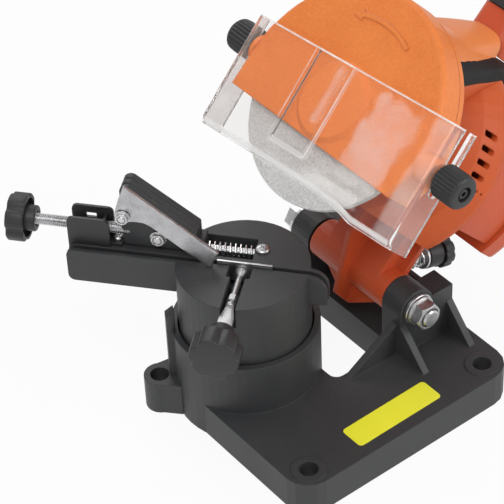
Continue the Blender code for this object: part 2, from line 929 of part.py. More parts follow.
def pan_screw(name, head_radius, head_height, shank_radius, seat, end, place):
    """A round-headed screw standing upright on the turntable."""
    profile = [(0, end), (shank_radius, end), (shank_radius, seat), (head_radius, seat),
               (head_radius, seat + head_height / 2),
               (head_radius * pan_share, seat + head_height), (0, seat + head_height)]
    solid(name, turned(profile, steps=16), table_frame, place,
          look=(bright_steel, 0.3, 1.0))


def block_outline():
    """The stop block seen from the front, with its stepped and sloping back."""
    low = drum_top + seat_gap
    points = [(-block_left, low), (-block_right, low), (-block_right, block_shoulder),
              (-block_peak_x, block_peak), (-block_left + block_brow / 2,
                                            block_peak - block_brow),
              (-block_left, block_left_height)]
    return rounded(points, [0, 0, overrun / 2, block_brow, block_brow, 0])


def make_stop_block():
    look = (black, 0.5)
    low = drum_top + seat_gap
    block = solid("stop_block", prism(block_outline(), block_front, block_back, "XZ"),
                  table_frame, look=look)
    for index in range(2):
        depth = ridge_step * (index + 1)
        start = block_front + ridge_width * (index + 1)
        down = [(spot_x, spot_z + overrun) for spot_x, spot_z in slope_line()]
        under = [(spot_x, spot_z - depth) for spot_x, spot_z in reversed(slope_line())]
        step = prism(down + under, start, block_back + overrun, "XZ")
        cut(block, solid(f"ridge_{index}", step, table_frame))
    spacer = rod(pawl_nut_radius, pawl_back_face, block_front + overrun / 2, "Y", 24)
    socket = rod(adjust_radius + pin_gap, -block_left - overrun, -block_left + hub_length,
                 "X", small_steps)
    pin_hole = rod(pawl_pin_radius + pin_gap, pawl_back_face - overrun,
                   block_back + overrun, "Y", small_steps)
    bolt_hole = rod(block_bolt_radius + pin_gap, block_front - overrun,
                    block_front + hub_length, "Y", 16)
    lug = box_outline(pocket_front + lug_margin, pocket_back - lug_margin,
                      low - lug_drop, low + overrun)
    lug_hole = rod(rod_radius + pin_gap, -block_right - lug_thickness - overrun,
                   -block_right + overrun, "X", small_steps)
    join(block, solid("block_lug", prism(lug, -block_right - lug_thickness,
                                         -block_right, "YZ"), table_frame))
    join(block, solid("pawl_spacer", spacer, table_frame, (-pawl_x, 0, pawl_z)))
    cut(block,
        solid("adjust_socket", socket, table_frame, (0, screw_y, screw_z)),
        solid("lug_hole", lug_hole, table_frame, (0, spring_y, spring_z)),
        solid("pawl_pin_hole", pin_hole, table_frame, (-pawl_x, 0, pawl_z)),
        solid("block_bolt_hole", bolt_hole, table_frame, (-block_bolt_x, 0,
                                                          block_bolt_z)))
    steel = (bright_steel, 0.3, 1.0)
    face = block_front - seat_gap
    bolt = solid("block_bolt", rod(block_bolt_radius, face - block_bolt_head / 2,
                                   block_front + hub_length - seat_gap, "Y", 16),
                 table_frame, (-block_bolt_x, 0, block_bolt_z), look=steel)
    join(bolt, solid("block_bolt_hex", prism(hexagon(block_bolt_hex),
                                             face - block_bolt_head, face, "XZ"),
                     table_frame, (-block_bolt_x, 0, block_bolt_z)))


def slope_line():
    """The block's sloping edge, carried a little past both of its ends."""
    rise = (block_peak - block_shoulder) / (block_peak_x - block_right)
    first = -block_left - overrun
    last = -block_right + overrun
    return [(first, block_peak - (first + block_peak_x) * rise),
            (last, block_peak - (last + block_peak_x) * rise)]


def make_adjuster():
    """The screw that pushes the stop block along, with its knob."""
    end = -block_left + hub_length - seat_gap
    start = -adjust_knob_left + adjust_knob_length / 2
    at = (0, screw_y, screw_z)
    solid("adjust_screw", rod(adjust_radius, start, end, "X", small_steps,
                              adjust_radius / 6), table_frame, at,
          look=(bright_steel, 0.3, 1.0))
    face = -adjust_knob_left + adjust_knob_length
    turn = (0, pi / 2, 0)
    place = (-adjust_knob_left, screw_y, screw_z)
    grip = prism(lobed(adjust_knob_radius, knob_lobe_depth, knob_lobes), 0,
                 adjust_knob_length)
    knob = solid("adjust_knob", grip, table_frame, place, turn, (black, 0.5))
    dish = turned([(hub_radius, adjust_knob_length - adjust_radius / 2),
                   (adjust_knob_radius - knob_lobe_depth * 2,
                    adjust_knob_length - adjust_radius / 2),
                   (adjust_knob_radius - knob_lobe_depth * 2,
                    adjust_knob_length + overrun),
                   (hub_radius, adjust_knob_length + overrun)])
    cut(knob, solid("adjust_dish", dish, table_frame, place, turn))
    join(knob, solid("adjust_hub", rod(hub_radius, adjust_knob_length / 2,
                                       adjust_knob_length + hub_length, steps=24,
                                       edge=adjust_radius / 6),
                     table_frame, place, turn))
    cut(knob, solid("adjust_bore", rod(adjust_radius + pin_gap,
                                       adjust_knob_length / 2 - seat_gap,
                                       adjust_knob_length + hub_length + overrun,
                                       steps=small_steps), table_frame, place, turn))


def make_return_spring():
    """The spring that pushes the stop block back, on its rod in the drum's pocket."""
    steel = (bright_steel, 0.3, 1.0)
    low = -block_right + seat_gap
    high = pocket_right - seat_gap
    coil("return_spring", spring_mean_radius, spring_wire, spring_turns, 0, high - low,
         table_frame, (low, spring_y, spring_z), (0, pi / 2, 0), steel)
    solid("spring_rod", rod(rod_radius, -block_right - lug_thickness + seat_gap, high,
                            "X", small_steps), table_frame, (0, spring_y, spring_z),
          look=steel)
    pan_screw("rod_screw", rod_screw_radius, rod_screw_height, rod_screw_shank,
              drum_top + seat_gap, drum_top - rod_screw_depth,
              (rod_screw_x, spring_y, 0))


def pawl_outline():
    """The pawl seen from the front, with its pivot at zero and X along its bar."""
    heel = arc(0, 0, pawl_heel_radius, 190, 350, 8)
    return heel + [(pawl_neck, pawl_low), (pawl_bend, pawl_low),
                   (pawl_tip_bottom, pawl_low), (pawl_tip_top, pawl_high),
                   (pawl_bend, pawl_high), (-pawl_left, pawl_high)]


def make_pawl():
    steel = (bright_steel, 0.3, 1.0)
    turn = (0, radians(pawl_slope), 0)
    place = (-pawl_x, 0, pawl_z)
    back = pawl_middle
    bar = prism(pawl_outline(), back - pawl_thickness / 2, back + pawl_thickness / 2,
                "XZ")
    reach = pawl_tip_top - pawl_bend
    for corner in bar.verts:
        share = max(0, corner.co.x - pawl_bend) / reach
        corner.co.y -= pawl_tip_out * share
        corner.co.z += pawl_tip_rise * share
    pawl = solid("pawl", bar, table_frame, place, turn, steel)
    cut(pawl, solid("pawl_hole", rod(pawl_pin_radius + pin_gap, back - pawl_thickness,
                                     back + pawl_thickness, "Y", small_steps),
                    table_frame, place))
    face = back - pawl_thickness / 2 - seat_gap
    pin = solid("pawl_pivot", rod(pawl_pin_radius, face - pawl_nut_height / 2,
                                  block_back + seat_gap, "Y", small_steps),
                table_frame, place, look=steel)
    join(pin, solid("pawl_nut", prism(hexagon(pawl_nut_radius), face - pawl_nut_height,
                                      face, "XZ"), table_frame, place))


def make_clamp():
    """The strip that grips the chain, pulled by a rod with a knob."""
    steel = (bright_steel, 0.3, 1.0)
    strip = box_outline(-strip_left, strip_right, strip_bottom, strip_top)
    solid("clamp_strip", prism(strip, strip_back - strip_thickness, strip_back, "XZ"),
          table_frame, look=steel)
    at = (channel_centre, 0, clamp_z)
    screw = solid("clamp_rod", rod(clamp_radius, -clamp_hub_start - hub_length,
                                   -clamp_start, "Y", small_steps), table_frame, at,
                  look=steel)
    near = -drum_radius + spade_sunk
    middle = -drum_radius - drum_gap
    far = -drum_radius - spade_reach
    spade = [(-spade_width / 2, near), (-spade_width / 2, middle),
             (-spade_flare / 2, far), (spade_flare / 2, far),
             (spade_width / 2, middle), (spade_width / 2, near)]
    join(screw,
         solid("spade", prism(spade, -spade_thickness / 2, spade_thickness / 2),
               table_frame, at),
         solid("clip", rod(clip_radius, -clip_near - clip_thickness, -clip_near, "Y",
                           small_steps),
               table_frame, at))
    length = clamp_knob_length
    end = clamp_knob_start + length
    place = (channel_centre, -end, clamp_z)
    turn = (-pi / 2, 0, 0)
    knob = solid("clamp_knob", prism(lobed(adjust_knob_radius, knob_lobe_depth,
                                           knob_lobes), 0, length), table_frame, place,
                 turn, (black, 0.5))
    hub = end - clamp_hub_start
    join(knob, solid("clamp_hub", rod(clamp_hub_radius, length / 2, hub, steps=24),
                     table_frame, place, turn))
    cut(knob, solid("clamp_bore", rod(clamp_radius + pin_gap, hub - hub_length - seat_gap,
                                      hub + overrun, steps=small_steps),
                    table_frame, place, turn))


def make_depth_stop():
    """The depth screw in the wall between the ears, with its spring and knob."""
    steel = (bright_steel, 0.3, 1.0)
    along = (0, pi / 2, 0)
    knob_end = depth_knob_start + depth_knob_length
    bolt_end = depth_knob_start + depth_knob_length / 2
    solid("depth_screw", rod(depth_radius, -depth_tip, bolt_end, "X", small_steps,
                             depth_radius / 6), depth_frame, look=steel)
    washer = tube(depth_radius + pin_gap, depth_washer_radius, depth_spring_end,
                  depth_spring_end + depth_washer, "X", 18)
    solid("depth_washer", washer, depth_frame, look=steel)
    low = depth_boss_front + seat_gap
    coil("depth_spring", depth_spring_radius, depth_spring_wire, depth_spring_turns, low,
         depth_spring_end - seat_gap - low, depth_frame, (0, 0, 0), along, steel)
    grip = prism(lobed(depth_knob_radius, knob_lobe_depth, knob_lobes), depth_knob_start,
                 knob_end)
    knob = solid("depth_knob", grip, depth_frame, turn=along, look=(black, 0.5))
    cut(knob, solid("depth_bore", rod(depth_radius + pin_gap,
                                      depth_knob_start - overrun, bolt_end + seat_gap,
                                      steps=small_steps), depth_frame, turn=along))


def make_spindle():
    """Everything that spins: the spindle with its fan, flanges, wheel and nut."""
    steel = (bright_steel, 0.3, 1.0)
    wheel_back = -wheel_thickness
    flange_back = wheel_back - seat_gap - inner_flange_thickness
    outer = seat_gap
    nut = outer + outer_flange_thickness + seat_gap
    end = nut + spindle_nut_height
    shoulder = flange_back - seat_gap
    fan_low = -fan_back
    profile = [(0, -bell_back + bell_wall), (shoulder_radius, -bell_back + bell_wall),
               (shoulder_radius, fan_low), (fan_radius, fan_low),
               (fan_radius, fan_low + fan_thickness),
               (shoulder_radius, fan_low + fan_thickness), (shoulder_radius, shoulder),
               (spindle_radius, shoulder), (spindle_radius, end), (0, end)]
    solid("spindle", turned(profile), wheel_frame, look=steel)
    hole = spindle_radius + pin_gap
    flange = [(hole, flange_back), (inner_flange_radius, flange_back),
              (inner_flange_radius, wheel_back - seat_gap),
              (bore_radius - pin_gap, wheel_back - seat_gap),
              (bore_radius - pin_gap, -seat_gap), (hole, -seat_gap)]
    solid("inner_flange", turned(flange, steps=24), wheel_frame, look=steel)
    disc = tube(bore_radius, wheel_radius, wheel_back, 0, steps=wheel_steps)
    solid("grinding_wheel", disc, wheel_frame, look=(wheel_grey, 0.8))
    solid("outer_flange", tube(hole, outer_flange_radius, outer,
                               outer + outer_flange_thickness, steps=24), wheel_frame,
          look=steel)
    body = solid("wheel_nut", prism(hexagon(spindle_nut_radius), nut, end), wheel_frame,
                 look=steel)
    cut(body, solid("wheel_nut_bore", rod(hole, nut - overrun, end + overrun,
                                          steps=small_steps), wheel_frame))


def cover_arc(radius, low):
    """The cover's round edge, from its left side over the top to the cut."""
    turn = degrees(acos(max(-1, low / radius)))
    return arc(0, 0, radius, 90, -turn, 36)


def cover_shape(inset, low):
    """The cover seen from the front: X is up and Y is left; its low side is open."""
    radius = cover_radius - inset
    left = cover_side - inset
    return [(low, left), (0, left)] + cover_arc(radius, low)[1:]


def make_cover():
    look = (orange, 0.45)
    split = -cover_split
    front = cover_front
    body = prism(cover_shape(0, -cover_cut), split + seat_gap, front)
    rim = [edge for edge in body.edges
           if all(abs(spot.co.z - front) < seat_gap / 10 for spot in edge.verts)
           and not all(abs(spot.co.x + cover_cut) < seat_gap / 10
                       for spot in edge.verts)]
    bmesh.ops.bevel(body, geom=rim, offset=cover_round, segments=3,
                    profile=round_profile, affect="EDGES")
    cover = solid("wheel_cover", body, wheel_frame, look=look)
    inner = prism(cover_shape(cover_wall, -cover_cut - overrun), split - overrun,
                  front - cover_wall)
    edge = front - cover_edge
    bulge = [(0, edge), (cover_bulge_radius + cover_bulge, edge),
             (cover_bulge_radius + cover_bulge, front),
             (cover_bulge_radius, front + cover_bulge), (0, front + cover_bulge)]
    cavity = rod(cover_bulge_radius - bulge_wall * 2, front - cover_wall - overrun,
                 front + cover_bulge - bulge_wall)
    join(cover, solid("cover_bulge", turned(bulge), wheel_frame))
    trim_bulge(cover, front)
    for name, start, way in (("left", cover_side - cover_wall / 2, 1),
                             ("right", -cover_radius + cover_wall, -1)):
        reach = boss_reach(way)
        boss = rod(boss_radius, min(start, reach), max(start, reach), "Y", 24)
        join(cover, solid(f"guard_boss_{name}", boss, wheel_frame,
                          (0, 0, knob_axis_w)))
    cut(cover,
        solid("cover_inner", inner, wheel_frame),
        solid("bulge_cavity", cavity, wheel_frame))
    for name, way in (("left", 1), ("right", -1)):
        reach = boss_reach(way)
        deep = cover_side - cover_wall if way > 0 else -cover_radius + cover_wall
        low = min(deep, reach) - overrun
        high = max(deep, reach) + overrun
        bore = rod(stud_radius + pin_gap, low, high, "Y", small_steps)
        cut(cover, solid(f"guard_bore_{name}", bore, wheel_frame, (0, 0, knob_axis_w)))
    join(cover, solid("cover_arrow", arrow(), wheel_frame))
    back = solid("cover_back", prism(cover_shape(0, -cover_cut), -cover_back, split),
                 wheel_frame, look=look)
    dish = prism(cover_shape(cover_wall, -cover_cut - overrun),
                 -cover_back + cover_wall, split + overrun)
    cut(back,
        solid("back_dish", dish, wheel_frame),
        solid("back_hole", rod(back_hole_radius, -cover_back - overrun,
                               split + overrun), wheel_frame))


def trim_bulge(cover, front):
    """Cuts the bulge off level with the cover's open side."""
    room = cover_bulge_radius * 2
    below = box_outline(-cover_cut - room, -cover_cut, -room, room)
    cut(cover, solid("bulge_trim", prism(below, -cover_back, front + room), wheel_frame))


def boss_reach(way):
    """How far a guard boss reaches along Y, just short of the guard's flange."""
    flange = guard_left if way > 0 else guard_right
    return way * (flange - guard_sheet - guard_lean)


def arrow():
    """The raised arrow for the wheel's way of turning."""
    outer = arc(0, 0, arrow_radius + arrow_width / 2, arrow_from, arrow_to, 10)
    inner = arc(0, 0, arrow_radius - arrow_width / 2, arrow_to, arrow_from, 10)
    tip = arc(0, 0, arrow_radius, arrow_to, arrow_to + degrees(arrow_head / arrow_radius),
              1)[-1]
    barb_out = arc(0, 0, arrow_radius + arrow_head / 2, arrow_to, arrow_to, 1)[0]
    barb_in = arc(0, 0, arrow_radius - arrow_head / 2, arrow_to, arrow_to, 1)[0]
    outline = outer + [barb_out, tip, barb_in] + inner
    return prism(outline, cover_front - arrow_height, cover_front + arrow_height)


def make_guard():
    """The clear guard: a front sheet with a raised panel, and two slotted flanges."""
    look = (clear_plastic, 0.05)
    low = guard_top - guard_height
    panel = [
        (guard_left, -guard_back),
        (guard_left, guard_front),
        (guard_step_left + guard_step / 2, guard_front),
        (guard_step_left, guard_front + guard_step),
        (-guard_step_right, guard_front + guard_step),
        (-guard_step_right - guard_step / 2, guard_front),
        (-guard_right, guard_front),
        (-guard_right, -guard_back),
    ]
    back = guard_front - guard_sheet
    inside = [
        (-guard_right + guard_sheet, -guard_back),
        (-guard_right + guard_sheet, back),
        (-guard_step_right - guard_step / 2, back),
        (-guard_step_right, back + guard_step),
        (guard_step_left, back + guard_step),
        (guard_step_left + guard_step / 2, back),
        (guard_left - guard_sheet, back),
        (guard_left - guard_sheet, -guard_back),
    ]
    guard = solid("guard", prism(panel + inside, low, guard_top, "YZ"), guard_frame,
                  look=look)
    return guard


def make_guard_mounts():
    steel = (bright_steel, 0.3, 1.0)
    wide = stud_radius + pin_gap * 2
    for name, way in (("left", 1), ("right", -1)):
        flange = guard_left if way > 0 else guard_right
        outer = flange + guard_lean
        knob_near = outer + seat_gap
        knob_far = knob_near + guard_knob_length
        stud_in = flange - guard_sheet - guard_lean - boss_bore_depth
        inner_limit = cover_side if way > 0 else cover_radius
        stud_in = max(stud_in, inner_limit - cover_wall)
        stud_out = knob_far - guard_knob_length / 5
        low, high = sorted((way * stud_in, way * stud_out))
        at = (0, 0, knob_axis_w)
        solid(f"guard_stud_{name}", rod(stud_radius, low, high, "Y", small_steps),
              wheel_frame, at, look=steel)
        outline = lobed(guard_knob_radius, knurl_depth, knurls, 4)
        low, high = sorted((way * knob_near, way * knob_far))
        knob = solid(f"guard_knob_{name}", prism(outline, low, high, "XZ"), wheel_frame,
                     at, look=(black, 0.5))
        cut(knob, solid(f"knob_bore_{name}", rod(stud_radius + pin_gap, low - overrun,
                                                 high + overrun, "Y", small_steps),
                        wheel_frame, at))
        middle = way * (flange - guard_sheet / 2) * tan(radians(guard_turn))
        slot = rounded(box_outline(middle - slot_travel - wide,
                                   middle + slot_travel + wide,
                                   knob_axis_w - wide, knob_axis_w + wide),
                       wide - seat_gap / 10)
        low, high = sorted((way * (flange - guard_sheet - overrun),
                            way * (flange + overrun)))
        cutter = solid(f"guard_slot_{name}", prism(slot, low, high, "XZ"), guard_frame)
        cut(bpy.data.objects["guard"], cutter)


def make_motor():
    """The motor's front bell: a hollow bell with a flat underside."""
    middle = bell_shoulder + (bell_back - bell_shoulder) / 2
    profile = [(0, -bell_front), (neck_radius, -bell_front),
               (neck_radius, -bell_flare_start), (bell_mid_radius, -bell_mid),
               (bell_shoulder_radius, -bell_shoulder),
               (bell_radius - bell_wall / 2, -middle),
               (bell_radius, -bell_back + bell_wall), (bell_radius, -bell_back),
               (0, -bell_back)]
    hollow = [(0, -bell_cavity_front), (bell_mid_radius - bell_wall, -bell_cavity_front),
              (bell_shoulder_radius - bell_wall, -bell_shoulder - bell_wall / 2),
              (bell_radius - bell_wall, -bell_back + bell_wall),
              (bell_radius - bell_wall, -bell_back - overrun),
              (0, -bell_back - overrun)]
    bell = solid("motor_bell", turned(profile, steps=ring_steps), wheel_frame,
                 look=(orange, 0.5))
    cavity = solid("bell_cavity", turned(hollow, steps=ring_steps), wheel_frame)
    cut(bell, under_motor("bell_flat", bell_flat))
    cut(cavity, under_motor("cavity_flat", bell_flat - bell_wall))
    cut(bell, cavity,
        solid("spindle_hole", rod(shoulder_radius + pin_gap, -bell_mid - bell_back,
                                  overrun), wheel_frame))
    for index in range(vents):
        height = vent_first - vent_pitch * index
        slot = rounded(box_outline(height - vent_width / 2, height + vent_width / 2,
                                   -vent_w - vent_length / 2, -vent_w + vent_length / 2),
                       vent_width / 3)
        shape = prism(slot, -bell_radius - overrun, -bell_mid_radius, "XZ")
        cut(bell, solid(f"vent_{index}", shape, wheel_frame))
    for index in range(pin_holes):
        spot = (pin_hole_u, 0, -pin_hole_w - pin_hole_pitch * index)
        hole = rod(pin_hole_radius, -bell_radius - overrun, -bell_mid_radius, "Y", 8)
        cut(bell, solid(f"pin_hole_{index}", hole, wheel_frame, spot))


def under_motor(name, flat):
    """A block that cuts the underside of the motor flat."""
    room = bell_radius * 2
    block = box_outline(-room, -flat, -room, room)
    return solid(name, prism(block, -room, room), wheel_frame)


def shell_outline(radius, flat):
    """A round housing seen along its axis, cut flat underneath."""
    turn = degrees(acos(flat / radius))
    return arc(0, 0, radius, -180 + turn, 180 - turn, 44)


def make_head_frame():
    """The hinge barrel, the arm and the motor's rear shell in one casting."""
    look = (orange_red, 0.5)
    shell_front = -bell_back - seat_gap
    head = solid("head_frame", prism(shell_outline(shell_radius, shell_flat),
                                     -shell_back, shell_front), wheel_frame, look=look)
    flange = prism(shell_outline(shell_radius - flange_step, bell_flat - bell_wall),
                   shell_front - flange_thickness, shell_front - seat_gap)
    top = wheel_u - shell_flat + overrun
    floor = box_outline(0, top, web_top - arm_floor, web_top)
    block = box_outline(0, top, web_top - arm_floor / 2, barrel_radius)
    barrel = rod(barrel_radius, -barrel_front, barrel_back, "Y", 24)
    bell_line = wheel_w + shell_front - flange_step
    rib = [(rib_top_a, bell_line), (rib_left_a, rib_left_c), (rib_tip_a, rib_tip_c),
           (heel_a, heel_c), (0, -barrel_radius / 2), (top, web_top), (top, bell_line)]
    fin = [(-barrel_front, -barrel_radius / 2), (barrel_back, -barrel_radius / 2),
           (rib_y + fin_tip_width / 2, -fin_reach_down),
           (rib_y - fin_tip_width / 2, -fin_reach_down)]
    join(head,
         solid("motor_flange", flange, wheel_frame),
         solid("arm_floor", prism(floor, -arm_front + web_thickness / 2,
                                  arm_back - web_thickness / 2, "XZ"), hinge_frame),
         solid("arm_block", prism(block, -block_front_side, block_back_side, "XZ"),
               hinge_frame),
         solid("arm_barrel", barrel, hinge_frame),
         solid("arm_rib", prism(rib, rib_y - arm_rib / 2, rib_y + arm_rib / 2, "XZ"),
               hinge_frame),
         solid("arm_fin", prism(fin, -arm_rib / 2, arm_rib / 2, "YZ"), hinge_frame,
               turn=(0, radians(fin_turn), 0)))
    for name, edge in (("front", -arm_front), ("back", arm_back - web_thickness)):
        web = [(0, web_top), (0, -web_top), (web_mid_a, web_mid_c), (top, -shell_rear),
               (top, web_top)]
        join(head, solid(f"arm_web_{name}", prism(web, edge, edge + web_thickness,
                                                  "XZ"), hinge_frame))
    cut(head, solid("barrel_bore", rod(hinge_bolt_radius + pin_gap,
                                       -barrel_front - overrun, barrel_back + overrun,
                                       "Y", 24), hinge_frame))


def make_rear_cap():
    look = (orange_red, 0.5)
    front = -shell_back - seat_gap
    outline = shell_outline(cap_radius, cap_flat)
    cap = prism(outline, -cap_back, front)
    rear_edges = [edge for edge in cap.edges
                  if all(abs(spot.co.z + cap_back) < seat_gap for spot in edge.verts)]
    bmesh.ops.bevel(cap, geom=rear_edges, offset=cap_edge, segments=3,
                    profile=round_profile, affect="EDGES")
    body = solid("rear_cap", cap, wheel_frame, look=look)
    for index in range(cap_slots):
        spot = (index - (cap_slots - 1) / 2) * cap_slot_pitch
        slot = box_outline(spot - cap_slot_width / 2, spot + cap_slot_width / 2,
                           -cap_slot_length / 2, cap_slot_length / 2)
        cut(body, solid(f"cap_slot_{index}", prism(slot, -cap_back - overrun,
                                                   -cap_back + cap_slot_depth),
                        wheel_frame))


def bell_clearance():
    """A solid a little larger than the motor housing, for what sits on it."""
    gap = seat_gap
    profile = [
        (0, -bell_front + overrun),
        (neck_radius + gap, -bell_front + overrun),
        (neck_radius + gap, -bell_flare_start),
        (bell_mid_radius + gap, -bell_mid + gap),
        (bell_shoulder_radius + gap, -bell_shoulder + gap),
        (bell_radius - bell_wall / 2 + gap, -bell_shoulder
         - (bell_back - bell_shoulder) / 2 + gap),
        (bell_radius + gap, -bell_back + bell_wall + gap),
        (bell_radius + gap, -bell_back - gap * 2),
        (shell_radius + gap, -bell_back - gap * 2),
        (shell_radius + gap, -shell_back - overrun),
        (0, -shell_back - overrun),
    ]
    return turned(profile, steps=ring_steps)


def make_saddle():
    """The black band over the housing, narrower towards the rear."""
    outline = arc(0, 0, saddle_radius, -50, 50, 24)
    saddle = solid("handle_saddle", prism(outline, -shell_back, -saddle_front),
                   wheel_frame, look=(black, 0.45))
    front = saddle_front_half
    back = saddle_back_half
    plan = [(front, -saddle_front + overrun), (front, -saddle_front),
            (back, -shell_back), (back, -shell_back - overrun),
            (-back, -shell_back - overrun), (-back, -shell_back),
            (-front, -saddle_front), (-front, -saddle_front + overrun)]
    keep(saddle, solid("saddle_plan", prism(plan, 0, saddle_radius * 2, "YZ"),
                       wheel_frame))
    cut(saddle, solid("housing_clearance", bell_clearance(), wheel_frame))


def dome_row(depth):
    """Points across the dome at one depth, along its outside and back inside."""
    inner = saddle_radius + seat_gap
    half = dome_half * (1 - (max(0, depth - dome_widest) / dome_length) ** dome_sweep)
    side = asin(half / inner)
    share = min(1, (depth - dome_slope_start) / dome_slope)
    rise = dome_rise * sin(share * pi / 2)
    outside = []
    inside = []
    for step in range(dome_columns + 1):
        across = sin(pi * (step / dome_columns - 0.5))
        radius = inner + dome_edge + rise * sqrt(1 - across ** 4)
        angle = side * across
        outside.append((radius * cos(angle), radius * sin(angle), -depth))
        inside.append((inner * cos(angle), inner * sin(angle), -depth))
    return outside + inside[::-1]


def make_dome():
    """The smooth orange dome on the saddle, from the cover to the handle's foot."""
    shape = bmesh.new()
    front = saddle_front
    back = handle_front_w - seat_gap
    rows = []
    for index in range(dome_rows + 1):
        depth = front + (back - front) * index / dome_rows
        rows.append([shape.verts.new(spot) for spot in dome_row(depth)])
    for near, far in zip(rows, rows[1:]):
        for here in range(len(near)):
            after = (here + 1) % len(near)
            shape.faces.new((near[here], near[after], far[after], far[here]))
    shape.faces.new(rows[0])
    shape.faces.new(rows[-1][::-1])
    solid("housing_dome", shape, wheel_frame, look=(orange, 0.5))


def make_handle():
    """The upright handle on the saddle, with its grip and trigger."""
    shaft = prism(handle_section(0), 0, handle_length)
    end_edges = [edge for edge in shaft.edges
                 if all(abs(spot.co.z - handle_length) < seat_gap
                        for spot in edge.verts)]
    bmesh.ops.bevel(shaft, geom=end_edges, offset=handle_end_edge, segments=3,
                    profile=round_profile, affect="EDGES")
    shell = solid("handle_shell", shaft, handle_frame, look=(orange_red, 0.5))
    cut(shell, solid("shaft_trim", rod(saddle_radius + seat_gap, -cap_back, 0,
                                       steps=ring_steps), wheel_frame))
    make_grip(shell)


def handle_section(swell):
    """The handle cut across: a rounded box, swollen where the grip covers it."""
    half = handle_depth / 2 + swell
    side = handle_half_width + swell
    return rounded(box_outline(-half, half, -side, side), handle_corner + swell)


def make_grip(shell):
    """The soft sleeve let into the handle all round, and the trigger in its front."""
    gap = seat_gap
    grip = solid("handle_grip", prism(handle_section(grip_swell), grip_from, grip_to),
                 handle_frame, look=(black, 0.65))
    core = prism(handle_section(-grip_wall), grip_from - overrun, grip_to + overrun)
    cut(grip, solid("grip_core", core, handle_frame))
    ring = solid("grip_room", prism(handle_section(overrun), grip_from - gap,
                                    grip_to + gap), handle_frame)
    cut(ring, solid("room_core", prism(handle_section(-grip_wall - gap),
                                       grip_from - overrun, grip_to + overrun),
                    handle_frame))
    cut(shell, ring)
    front = -handle_depth / 2
    outline = rounded([(front - trigger_out, trigger_from),
                       (front + trigger_in, trigger_from),
                       (front + trigger_in, trigger_to),
                       (front - trigger_out, trigger_to)],
                      [overrun, 0, 0, overrun])
    half = trigger_width / 2
    solid("switch_trigger", prism(outline, -half, half, "XZ"), handle_frame,
          look=(black, 0.4))
    room = box_outline(front - overrun, front + trigger_in + trigger_travel + gap,
                       trigger_from - gap, trigger_to + gap)
    window = prism(room, -half - gap, half + gap, "XZ")
    cut(shell, solid("trigger_room", window, handle_frame))
    window = prism(room, -half - gap, half + gap, "XZ")
    cut(grip, solid("trigger_window", window, handle_frame))


clear_scene()
tab_screw_x = -bracket_left + bracket_length + bracket_tab / 2
pawl_back_face = pawl_middle + pawl_thickness / 2 + seat_gap
guard_lean = tan(radians(guard_turn)) * boss_radius
table_frame = frame("table_axis", (table_x, table_y, 0), (0, 0, radians(table_turn)))
hinge_frame = frame("head_hinge", (hinge_x, wheel_y, hinge_z),
                    (0, radians(head_tilt), 0))
wheel_frame = frame("wheel_axis", (wheel_u, 0, wheel_w), parent=hinge_frame)
guard_frame = frame("guard_axis", (0, 0, 0), (0, 0, radians(guard_turn)),
                    parent=wheel_frame)
handle_frame = frame("handle_axis", (handle_u, 0, handle_w),
                     (0, radians(handle_lean), 0), parent=wheel_frame)
depth_frame = frame("depth_axis", (depth_x, depth_y, depth_z),
                    (0, radians(depth_fall), 0))
make_base()
make_hinge_bolt()
make_turntable()
make_pivot()
make_bracket()
make_stop_block()
make_adjuster()
make_return_spring()
make_pawl()
make_clamp()
make_depth_stop()
make_spindle()
make_cover()
make_guard()
make_guard_mounts()
make_motor()
make_head_frame()
make_rear_cap()
make_saddle()
make_dome()
make_handle()
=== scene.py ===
from math import acos, atan2, cos, degrees, pi, radians, sin, tan

import bmesh
import bpy
from mathutils import Matrix, Vector


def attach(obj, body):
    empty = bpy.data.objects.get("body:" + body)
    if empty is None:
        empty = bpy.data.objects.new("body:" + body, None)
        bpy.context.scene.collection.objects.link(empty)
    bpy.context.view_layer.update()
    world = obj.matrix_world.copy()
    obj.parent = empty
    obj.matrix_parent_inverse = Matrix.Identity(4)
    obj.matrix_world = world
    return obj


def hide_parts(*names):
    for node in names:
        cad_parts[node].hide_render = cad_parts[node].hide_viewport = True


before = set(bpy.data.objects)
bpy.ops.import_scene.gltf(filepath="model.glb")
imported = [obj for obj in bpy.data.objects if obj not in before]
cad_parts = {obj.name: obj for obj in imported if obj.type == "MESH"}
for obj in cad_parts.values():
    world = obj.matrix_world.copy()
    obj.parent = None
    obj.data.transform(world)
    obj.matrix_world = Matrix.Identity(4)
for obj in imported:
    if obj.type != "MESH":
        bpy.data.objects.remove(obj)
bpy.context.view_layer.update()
print("frame loaded:", len(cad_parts), "nodes")


# where the moving groups stand, in millimetres and degrees
places = {
    "table": (-33.3, 80.4, 0.0), "tableTurn": -50.3,
    "hinge": (40.7, 77.6, 48.0), "headTilt": -43.2,
    "wheel": (67.1, 0.0, 89.3), "guardTurn": 4.2,
    "depth": (65.7, 76.4, 34.0), "depthFall": 15.0, "plateTop": 20.0,
}


def shift(spot):
    return Matrix.Translation(Vector(spot) / 1000)


def turn(angle, axis):
    return Matrix.Rotation(radians(angle), 4, axis)


tableSpace = shift(places["table"]) @ turn(places["tableTurn"], "Z")
hingeSpace = shift(places["hinge"]) @ turn(places["headTilt"], "Y")
wheelSpace = hingeSpace @ shift(places["wheel"])
guardSpace = wheelSpace @ turn(places["guardTurn"], "Z")
depthSpace = shift(places["depth"]) @ turn(places["depthFall"], "Y")


